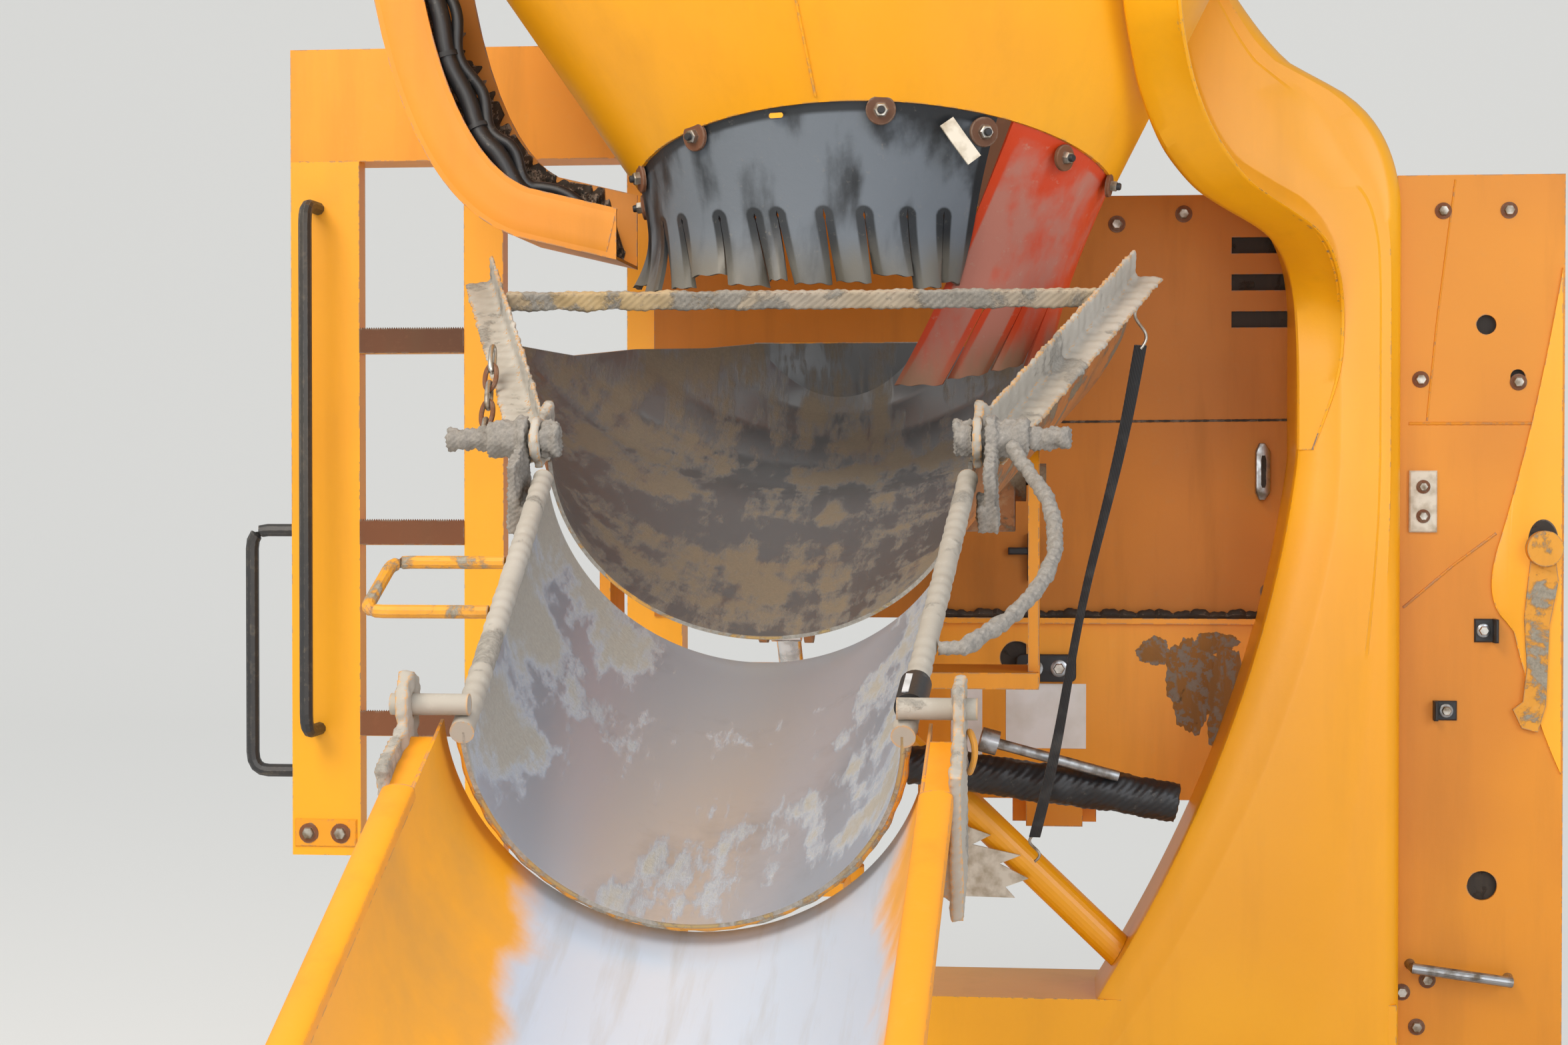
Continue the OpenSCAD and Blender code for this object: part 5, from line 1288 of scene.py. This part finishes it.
class DISCHARGE_OT_extension(bpy.types.Operator):
    """Makes the extension chute's shell with its worn liner, its flanges and hook plates"""
    bl_idname = "discharge.extension"
    bl_label = "Extension chute"

    def execute(self, context):
        outer = half_round(EXT_TOP, EXT_TOP_R + EXT_T, EXT_END, EXT_END_R + EXT_T, 60)
        inner = half_round(EXT_TOP, EXT_TOP_R, EXT_END, EXT_END_R, 60)
        skin = shell("extension_skin", outer, inner, "extension",
                     ["enamel_dusty", "liner", "enamel_dusty"])
        turn = math.atan((EXT_TOP_R - EXT_END_R) / (EXT_TOP - EXT_END))
        parts = [skin]
        for side, name in ((-1, "left"), (1, "right")):
            y = np.linspace(EXT_FLANGE_TOP, EXT_END, FLANGE_ROWS)
            x = side * (EXT_TOP_R + (y - EXT_TOP) * math.tan(turn))
            t = np.linspace(0, math.pi, 13)
            top = np.stack([0.0185 - 0.0195 * np.cos(t), 0.0075 * np.sin(t) - 0.001], -1)
            low = np.stack([0.0185 + 0.0155 * np.cos(t), 0.0055 * np.sin(t) - 0.005], -1)
            lip = np.concatenate([[(-0.001, -0.012)], top, [(0.038, -0.016), (0.034, -0.016)], low,
                                  [(0.003, -0.012)]]) * (side, 1)
            points = in_chute(x[:, None] + lip[None, :, 0], y[:, None] + 0 * lip[None, :, 0],
                              lip[None, :, 1] + 0 * y[:, None])
            m = len(lip)
            flat = points.reshape(-1, 3)
            faces = grid_faces(FLANGE_ROWS, m, 0, False, True).tolist() + end_caps(FLANGE_ROWS, m)
            if side > 0:
                faces = [f[::-1] for f in faces]
            parts.append(make_piece(name + "_flange", flat, faces, "extension", ["enamel_dusty"]))
        for piece in parts:
            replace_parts(piece, "extension_chute")
        # A rib joins each hook plate to the shell, over a gap that the CAD model leaves open
        for side, name in ((-1, "left"), (1, "right")):
            y = np.linspace(RIB_LOW, RIB_HIGH, 6)
            path = in_chute(np.full_like(y, side * RIB_X), y, np.full_like(y, -0.003))
            swept(name + "_hook_rib", path, flat_bar(RIB_HALF, RIB_THIN), "extension",
                  ["enamel_dusty"], ref=(0, 0, 1))
        rough_copy("mottled_hook_plates", ["hook_plates"], "extension", "cement_film", 0.004,
                   0.0024, 0.045, 6.0)
        return {"FINISHED"}


def box_part(low, high, k, round_off=0.003):
    """A box between two corners with its front edges cut at 45 degrees, as a part for joined."""
    (x0, y0, z0), (x1, y1, z1) = low, high
    c = round_off
    rings = [[(x0 + d, y, z0 + d), (x1 - d, y, z0 + d), (x1 - d, y, z1 - d), (x0 + d, y, z1 - d)]
             for y, d in ((y1, 0), (y0 + c, 0), (y0, c))]
    faces = [[0, 1, 2, 3][::-1], [8, 9, 10, 11]]
    for r in (0, 1):
        faces += [[r * 4 + k2, r * 4 + (k2 + 1) % 4, r * 4 + 4 + (k2 + 1) % 4, r * 4 + 4 + k2]
                  for k2 in range(4)]
    return np.array(sum(rings, [])), faces, k


def plate_part(outline, y0, y1, k, lip=0.002):
    """An upright plate of (x, z) outline between two depths, its front edge rounded off by lip."""
    outline = np.asarray(outline, float)
    middle = outline.mean(0)
    way = middle - outline
    way /= np.linalg.norm(way, axis=1)[:, None]
    rings = [np.insert(outline + way * d, 1, y, axis=1) for y, d in
             ((y1, 0.0), (y0 + lip, 0.0), (y0 + lip * 0.3, lip * 0.3), (y0, lip))]
    n = len(outline)
    points = np.concatenate(rings)
    faces = grid_faces(4, n, 0, False, True).tolist() + end_caps(4, n)
    area = np.sum(outline[:, 0] * np.roll(outline[:, 1], -1) - np.roll(outline[:, 0], -1)
                  * outline[:, 1])
    if area < 0:
        faces = [f[::-1] for f in faces]
    return points, faces, k


def chain_parts(path, wire=0.0042, long=0.030, wide=0.0095):
    """Links along a path: each an oval of wire, and each a quarter turn from the last."""
    path = np.asarray(path, float)
    run = np.linalg.norm(path[-1] - path[0])
    count = max(2, int(round(run / (long * 1.42))))
    parts = []
    t = np.arange(28) * 2 * math.pi / 28
    for k in range(count):
        s = (k + 0.5) / count
        mid = path[0] * (1 - s) + path[-1] * s
        ahead = (path[-1] - path[0]) / run
        side = np.cross(ahead, (0, 1.0, 0.3) if k % 2 else (1.0, 0, 0.2))
        side /= np.linalg.norm(side)
        core = mid + np.cos(t)[:, None] * ahead * long + np.sin(t)[:, None] * side * wide
        step = np.roll(core, -1, 0) - np.roll(core, 1, 0)
        step /= np.linalg.norm(step, axis=1)[:, None]
        up = np.cross(ahead, side)
        flat = np.cross(step, up)
        a = np.arange(8) * math.pi / 4
        points = core[:, None] + wire * (np.cos(a)[None, :, None] * up
                                         + np.sin(a)[None, :, None] * flat[:, None])
        points = points.reshape(-1, 3)
        faces = turned_out(grid_faces(28, 8, 0, True, True).tolist(), points, core, 8)
        parts.append((points, faces, k % 2))
    return parts


# Front faces of the side plate and the rear panel, and the way that both look
SIDE_Y, PANEL_Y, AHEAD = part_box("side_plate")[0][1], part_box("rear_panel")[0][1], (0, -1, 0)
# Bolts on the two: x, z
SIDE_BOLTS = ((1.217, 1.127), (1.348, 1.127), (1.368, 0.778), (1.173, 0.784), (1.170, -0.542),
              (1.140, -0.471), (1.191, -0.445))
PANEL_BOLTS = (0.879, 0.343), (0.560, 1.120), (0.700, 1.140)
# Weld beads and seams: name, face, places as x and z, radius, finish
# The side plate's seams take its darker enamel, which is painted shade
SEAMS = (
    ("side_seam_up", SIDE_Y, ((1.241, 1.190), (1.205, 0.900), (1.186, 0.700)), 0.0022,
     "painted_shade_enamel"),
    ("side_seam_level", SIDE_Y, ((1.150, 0.694), (1.400, 0.694)), 0.0034, "painted_shade_enamel"),
    ("side_seam_slant", SIDE_Y, ((1.140, 0.318), (1.240, 0.405), (1.325, 0.470)), 0.0028,
     "painted_shade_enamel"),
    ("rear_seam", PANEL_Y, ((0.150, 0.700), (1.100, 0.706)), 0.0026, "dark_gunk_and_shade"))


class DISCHARGE_OT_seams(bpy.types.Operator):
    """Makes the panels' bolts, the taped hose, the weld beads and the seams"""
    bl_idname = "discharge.seams"
    bl_label = "Bolts and seams"

    def execute(self, context):
        parts = []
        for x, z in SIDE_BOLTS:
            parts += bolt_parts((x, SIDE_Y, z), AHEAD, 0.011, 0.017)
        for x, z in PANEL_BOLTS:
            parts += bolt_parts((x, PANEL_Y, z), AHEAD, 0.011, 0.018)
        joined("panel_bolts", parts, "pedestal", ["zinc", "rusty"])
        rough_copy("taped_hose", ["hose_sleeve"], "pedestal", "hose_rubber", 0.004, 0.003, 0.05,
                   7.0)
        for name, face, places, r, finish in SEAMS:
            line = even([(x, face, z) for x, z in places], 0.006)
            swept(name, line, ring(r, 8), "pedestal", [finish],
                  scale=1 + 0.12 * np.sin(np.arange(len(line)) * 2.3))
        return {"FINISHED"}


# Black brackets bent from strip: low x, high x, depth and low z, high z of each leg
BRACKET_LEGS = ((1.282, 1.326, 0.006, 0.248, 0.296), (1.318, 1.326, 0.040, 0.248, 0.296),
                (1.200, 1.248, 0.006, 0.088, 0.128), (1.200, 1.208, 0.030, 0.088, 0.128))
# Rounded black plate: middle of each corner's round as x and z, and where its quarter starts
PLATE_CORNERS = (0.362, 0.162, 180), (0.464, 0.162, 270), (0.464, 0.196, 0), (0.362, 0.196, 90)
# Slotted bar and its slot: x, z
BAR_EDGE = ((0.868, 0.656), (0.880, 0.640), (0.880, 0.552), (0.868, 0.536), (0.858, 0.536),
            (0.850, 0.552), (0.850, 0.640), (0.858, 0.656))
SLOT_EDGE = ((0.869, 0.630), (0.871, 0.620), (0.871, 0.570), (0.869, 0.562), (0.862, 0.562),
             (0.860, 0.570), (0.860, 0.620), (0.862, 0.630))


class DISCHARGE_OT_brackets(bpy.types.Operator):
    """Makes the plate under the latch, the pad plate, the black brackets and the slotted bar"""
    bl_idname = "discharge.brackets"
    bl_label = "Plates and brackets"

    def execute(self, context):
        # Second plate with a curved inner edge, under the latch
        curve = np.concatenate([bend((1.455, 1.010), (1.405, 0.700), (1.330, 0.450), 20),
                                bend((1.330, 0.450), (1.295, 0.335), (1.345, 0.290), 12),
                                bend((1.360, 0.270), (1.400, 0.100), (1.455, -0.020), 14)])
        joined("latch_plate", [plate_part(curve, SIDE_Y - 0.006, SIDE_Y + 0.001, 0, 0.0015)],
               "pedestal", ["enamel"])
        # A thin dark plate in the latch plate's opening: painted shade where it looks into the dark
        t = np.arange(40) * math.pi / 20
        hole = np.stack([1.418 + 0.030 * np.cos(t), 0.455 + 0.044 * np.sin(t)], -1)
        joined("latch_opening_shade", [plate_part(hole, SIDE_Y - 0.0068, SIDE_Y - 0.004, 0, 0.0004)],
               "pedestal", ["dark_gunk_and_shade"])
        pad = [box_part((1.150, SIDE_Y - 0.010, 0.472), (1.206, SIDE_Y, 0.598), 0, 0.003)]
        for z in (0.505, 0.565):
            pad += bolt_parts((1.178, SIDE_Y - 0.010, z), AHEAD, 0.009, 0.014, 0.006, first=1)
        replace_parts(joined("pad_plate", pad, "pedestal", ["pad", "zinc", "rusty"]),
                    "panel_fittings")
        black = [box_part((x0, SIDE_Y - deep, z0), (x1, SIDE_Y, z1), 0)
                 for x0, x1, deep, z0, z1 in BRACKET_LEGS]
        for x, z in ((1.300, 0.272), (1.226, 0.108)):
            black += bolt_parts((x, SIDE_Y - 0.006, z), AHEAD, 0.010, 0.014, 0.010, first=1)
        outline = []
        for x, z, start in PLATE_CORNERS:
            turn = np.radians(start + np.linspace(0, 90, 7))
            outline += list(np.stack([x + 0.012 * np.cos(turn), z + 0.012 * np.sin(turn)], -1))
        black.append(plate_part(outline, PANEL_Y - 0.020, PANEL_Y, 0, 0.004))
        for x in (0.388, 0.440):
            black += bolt_parts((x, PANEL_Y - 0.020, 0.179), AHEAD, 0.012, 0.018, 0.012, first=1)
        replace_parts(joined("black_brackets", black, "pedestal", ["cap", "zinc", "steel"]),
                    "panel_fittings")
        # The bar's slot is a thin dark plate: painted shade
        bar = [plate_part(BAR_EDGE, PANEL_Y - 0.034, PANEL_Y, 0, 0.004),
               plate_part(SLOT_EDGE, PANEL_Y - 0.0345, PANEL_Y - 0.030, 1, 0.0004)]
        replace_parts(joined("slotted_bar", bar, "pedestal", ["steel", "dark_gunk_and_shade"]),
                    "panel_fittings")
        return {"FINISHED"}


# Bare patches: middle as x and z, half width, half height, and the shift of its wavy edge
PATCHES = ((0.720, 0.150, 0.055, 0.100, 0.0), (0.800, 0.100, 0.050, 0.120, 2.0),
           (0.640, 0.215, 0.035, 0.030, 4.0), (0.770, 0.235, 0.045, 0.022, 1.0))
LEDGE_X0, LEDGE_X1, LEDGE_Z = 0.160, 0.905, 0.280


class DISCHARGE_OT_panel_trim(bpy.types.Operator):
    """Makes the blank labels, the black handle, the dirty ledge and the bare patches"""
    bl_idname = "discharge.panel_trim"
    bl_label = "Panel trim"

    def execute(self, context):
        labels = [box_part((0.327, PANEL_Y - 0.0016, 0.007), (0.497, PANEL_Y, 0.145), 0, 0.0006),
                  box_part((0.210, PANEL_Y - 0.0016, -0.029), (0.277, PANEL_Y, 0.180), 0, 0.0006)]
        joined("blank_labels", labels, "pedestal", ["blank_label"])
        # Black handle on the panel: an upright bar and an arm
        grip = [box_part((0.373, PANEL_Y - 0.024, 0.365), (0.393, PANEL_Y, 0.465), 0, 0.004),
                box_part((0.332, PANEL_Y - 0.018, 0.420), (0.379, PANEL_Y, 0.435), 0, 0.003)]
        joined("panel_handle", grip, "pedestal", ["cap"])
        # The ledge where the panels meet, with dirt lying on it
        x = np.linspace(LEDGE_X0, LEDGE_X1, 150)
        lump = 0.5 + 0.3 * np.sin(x * 71) + 0.2 * np.sin(x * 163 + 1) + 0.16 * np.sin(x * 331)
        seam = np.stack([x, np.full_like(x, PANEL_Y - 0.009), np.full_like(x, LEDGE_Z)], -1)
        swept("panel_ledge", seam, flat_bar(0.009, 0.006), "pedestal", ["enamel_dusty"])
        heap = seam + np.stack([0 * x, 0.002 * np.sin(x * 90), 0.011 + 0.005 * lump], -1)
        swept("ledge_dirt", heap, ring(0.0125, 12, 0.7), "pedestal", ["dark_gunk_and_shade"],
              scale=0.7 + 0.6 * np.clip(lump, 0, 1))
        # Bare, rusted patches low on the panel: films thinner than the paint
        t = np.arange(160) * 2 * math.pi / 160
        patches = []
        for cx, cz, rx, rz, turn in PATCHES:
            rough = (1 + 0.09 * np.sin(3 * t + turn) + 0.05 * np.sin(8 * t + turn * 2)
                     + 0.03 * np.sin(17 * t) + 0.02 * np.sin(37 * t))
            patch = np.stack([cx + rx * rough * np.cos(t), cz + rz * rough * np.sin(t)], -1)
            depth = 0.0006 + 0.0001 * turn
            patches.append(plate_part(patch, PANEL_Y - depth, PANEL_Y + 0.0002, 0, 0.0003))
        joined("bare_patches", patches, "pedestal", ["scuffed"])
        return {"FINISHED"}


# A rung cover's teeth, and its low edge, valleys and tips from the rung's middle
RUNG_TEETH, COVER_LOW, COVER_TOP, TOOTH = 46, -0.024, 0.0265, 0.0045


class DISCHARGE_OT_ladder_trim(bpy.types.Operator):
    """Makes the toothed rung covers and the bolted foot of the ladder's outer stile"""
    bl_idname = "discharge.ladder_trim"
    bl_label = "Ladder trim"

    def execute(self, context):
        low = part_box("ladder")[0]
        parts = []
        for z in RUNGS:
            x = np.linspace(RUNG_X0, RUNG_X1, RUNG_TEETH * 2 + 1)
            top = z + COVER_TOP + TOOTH * (np.arange(len(x)) % 2)
            outline = np.concatenate([np.stack([x, top], -1),
                                      [(RUNG_X1, z + COVER_LOW), (RUNG_X0, z + COVER_LOW)]])
            n = len(outline)
            front = np.insert(outline, 1, low[1] - 0.003, axis=1)
            rear = np.insert(outline, 1, low[1] + 0.0008, axis=1)
            faces = [list(range(n)), list(range(2 * n - 1, n - 1, -1))]
            faces += [[k, k + n, (k + 1) % n + n, (k + 1) % n] for k in range(n)]
            if not facing(np.concatenate([front, rear]), np.array(faces[2:])):
                faces = [f[::-1] for f in faces]
            parts.append((np.concatenate([front, rear]), faces, 0))
        joined("rung_covers", parts, "pedestal", ["rusty"])
        foot = [box_part((-1.196, low[1] - 0.005, low[2] + 0.018),
                         (-1.060, low[1], low[2] + 0.078), 2)]
        for x in (-1.165, -1.095):
            foot += bolt_parts((x, low[1] - 0.005, low[2] + 0.048), AHEAD, 0.013, 0.021)
        joined("ladder_foot", foot, "pedestal", ["zinc", "rusty", "enamel_dusty"])
        return {"FINISHED"}


# Ends of the strap, half its width at the ends, and what it narrows by halfway
STRAP_TOP, STRAP_LOW, STRAP_ROWS = (0.585, -1.000, 0.820), (0.392, -0.420, -0.140), 60
STRAP_HALF, STRAP_WAIST = 0.0115, 0.0035
HOOK_WIRE, HOOK_CURL = 0.0028, 0.010


class DISCHARGE_OT_ties(bpy.types.Operator):
    """Makes the webbing strap with its two S-hooks, and the chain on the left rail"""
    bl_idname = "discharge.ties"
    bl_label = "Strap and chain"

    def execute(self, context):
        top, low = np.array(STRAP_TOP), np.array(STRAP_LOW)
        t = np.linspace(0, 1, STRAP_ROWS)[:, None]
        line = top * (1 - t) + low * t + np.array([0.004, 0, 0]) * np.sin(t * math.pi * 3)
        ahead = (low - top) / np.linalg.norm(low - top)
        across = np.cross(ahead, (0.25, -1.0, 0.0))
        across /= np.linalg.norm(across)
        up = np.cross(across, ahead)
        half = STRAP_HALF - STRAP_WAIST * np.sin(t * math.pi) ** 2
        sides = [(-1, -0.001), (-0.9, -0.0014), (0.9, -0.0014), (1, -0.001), (1, 0.001),
                 (0.9, 0.0014), (-0.9, 0.0014), (-1, 0.001)]
        points = np.stack([line + across * half * u + up * v for u, v in sides], 1)
        m = len(sides)
        faces = grid_faces(STRAP_ROWS, m, 0, False, True).tolist() + end_caps(STRAP_ROWS, m)
        if not facing(points.reshape(-1, 3), np.array(faces[:-2])):
            faces = [f[::-1] for f in faces]
        strap = make_piece("tie_strap", points.reshape(-1, 3), faces, None, ["webbing"])
        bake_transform(strap)
        for name, at, body, turn, reach in (
                ("strap_hook_top", top, "main_chute", 1.0, 0.082),
                ("strap_hook_low", low, "swivel", -1.0, 0.056)):
            s = np.linspace(0, 1, 60)
            x = HOOK_CURL * np.sin(s * 2 * math.pi) * turn
            z = turn * (-0.006 + reach * s)
            curl = np.stack([x, 0 * s, z], -1)
            swept(name, np.asarray(at) + curl, ring(HOOK_WIRE, 10), body, ["zinc"],
                  ref=(0, 1, 0))
        # Ring of the latch on the right hook plate
        t = np.arange(48) * 2 * math.pi / 48
        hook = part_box("hook_plates")[1]
        loop = np.stack([np.full_like(t, hook[0] + 0.004) + 0.006 * np.cos(t) ** 2,
                         -2.662 + 0.010 * np.cos(t), 0.262 + 0.024 * np.sin(t)], -1)
        swept("latch_ring", loop, ring(0.0038, 10), "extension", ["enamel_crusted"], ref=(1, 0, 0),
              closed=True)
        links = chain_parts([(-0.468, -1.560, 0.790), (-0.448, -1.720, 0.640)])
        joined("rail_chain", links, "main_chute", ["zinc", "rusty"], smooth=60.0)
        return {"FINISHED"}


class DISCHARGE_OT_finishes(bpy.types.Operator):
    """Gives every node that stays its finish"""
    bl_idname = "discharge.finishes"
    bl_label = "Finishes"

    def execute(self, context):
        for finish, nodes in {
                "enamel": ["funnel_arms", "brace", "bumper_beam", "ladder", "left_post"],
                "enamel_dusty": ["mount_plates", "right_post", "slew_arm", "ladder_arm",
                                 "swivel_yoke", "cylinder_foot", "lower_panel"],
                # Painted shade: the side plate and top beam take the darker enamel, and the rear
                # panel the darkest as painted shadow
                "painted_shade_enamel": ["side_plate", "top_beam"],
                "painted_shadow_enamel": ["rear_panel"],
                "orange_paint": ["chute_cradle", "lift_lug"],
                "black_paint": ["grab_rails"],
                "steel": ["swivel_post", "control_lever", "step_bar"],
                "pad": ["drip_flap"],
                "enamel_crusted": ["side_latch"],
                "cylinder": ["cylinder_barrel"],
                "chrome": ["cylinder_rod"]}.items():
            for node in nodes:
                give(node, finish)
        return {"FINISHED"}


PIECES = (DISCHARGE_OT_stage, DISCHARGE_OT_finishes, DISCHARGE_OT_funnel, DISCHARGE_OT_column,
          DISCHARGE_OT_gutter, DISCHARGE_OT_boots, DISCHARGE_OT_main_chute, DISCHARGE_OT_foldover,
          DISCHARGE_OT_extension, DISCHARGE_OT_seams, DISCHARGE_OT_brackets,
          DISCHARGE_OT_panel_trim, DISCHARGE_OT_ladder_trim, DISCHARGE_OT_ties)


class DISCHARGE_PT_panel(bpy.types.Panel):
    """Lists the unit's sizes and the pieces that can be made"""
    bl_label = "Discharge Unit"
    bl_idname = "DISCHARGE_PT_panel"
    bl_space_type = "VIEW_3D"
    bl_region_type = "UI"
    bl_category = "Discharge Unit"

    def draw(self, context):
        for name in DischargeUnitSettings.__annotations__:
            self.layout.prop(context.scene.discharge_unit, name)
        for piece in PIECES:
            self.layout.operator(piece.bl_idname)


CLASSES = (DischargeUnitSettings, *PIECES, DISCHARGE_PT_panel)


def register():
    for one in CLASSES:
        bpy.utils.register_class(one)
    bpy.types.Scene.discharge_unit = PointerProperty(type=DischargeUnitSettings)


def unregister():
    del bpy.types.Scene.discharge_unit
    for one in reversed(CLASSES):
        bpy.utils.unregister_class(one)


def main():
    """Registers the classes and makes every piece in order."""
    register()
    make_finishes()
    for piece in PIECES:
        getattr(bpy.ops.discharge, piece.bl_idname.split(".")[1])()


if __name__ == "__main__":
    main()
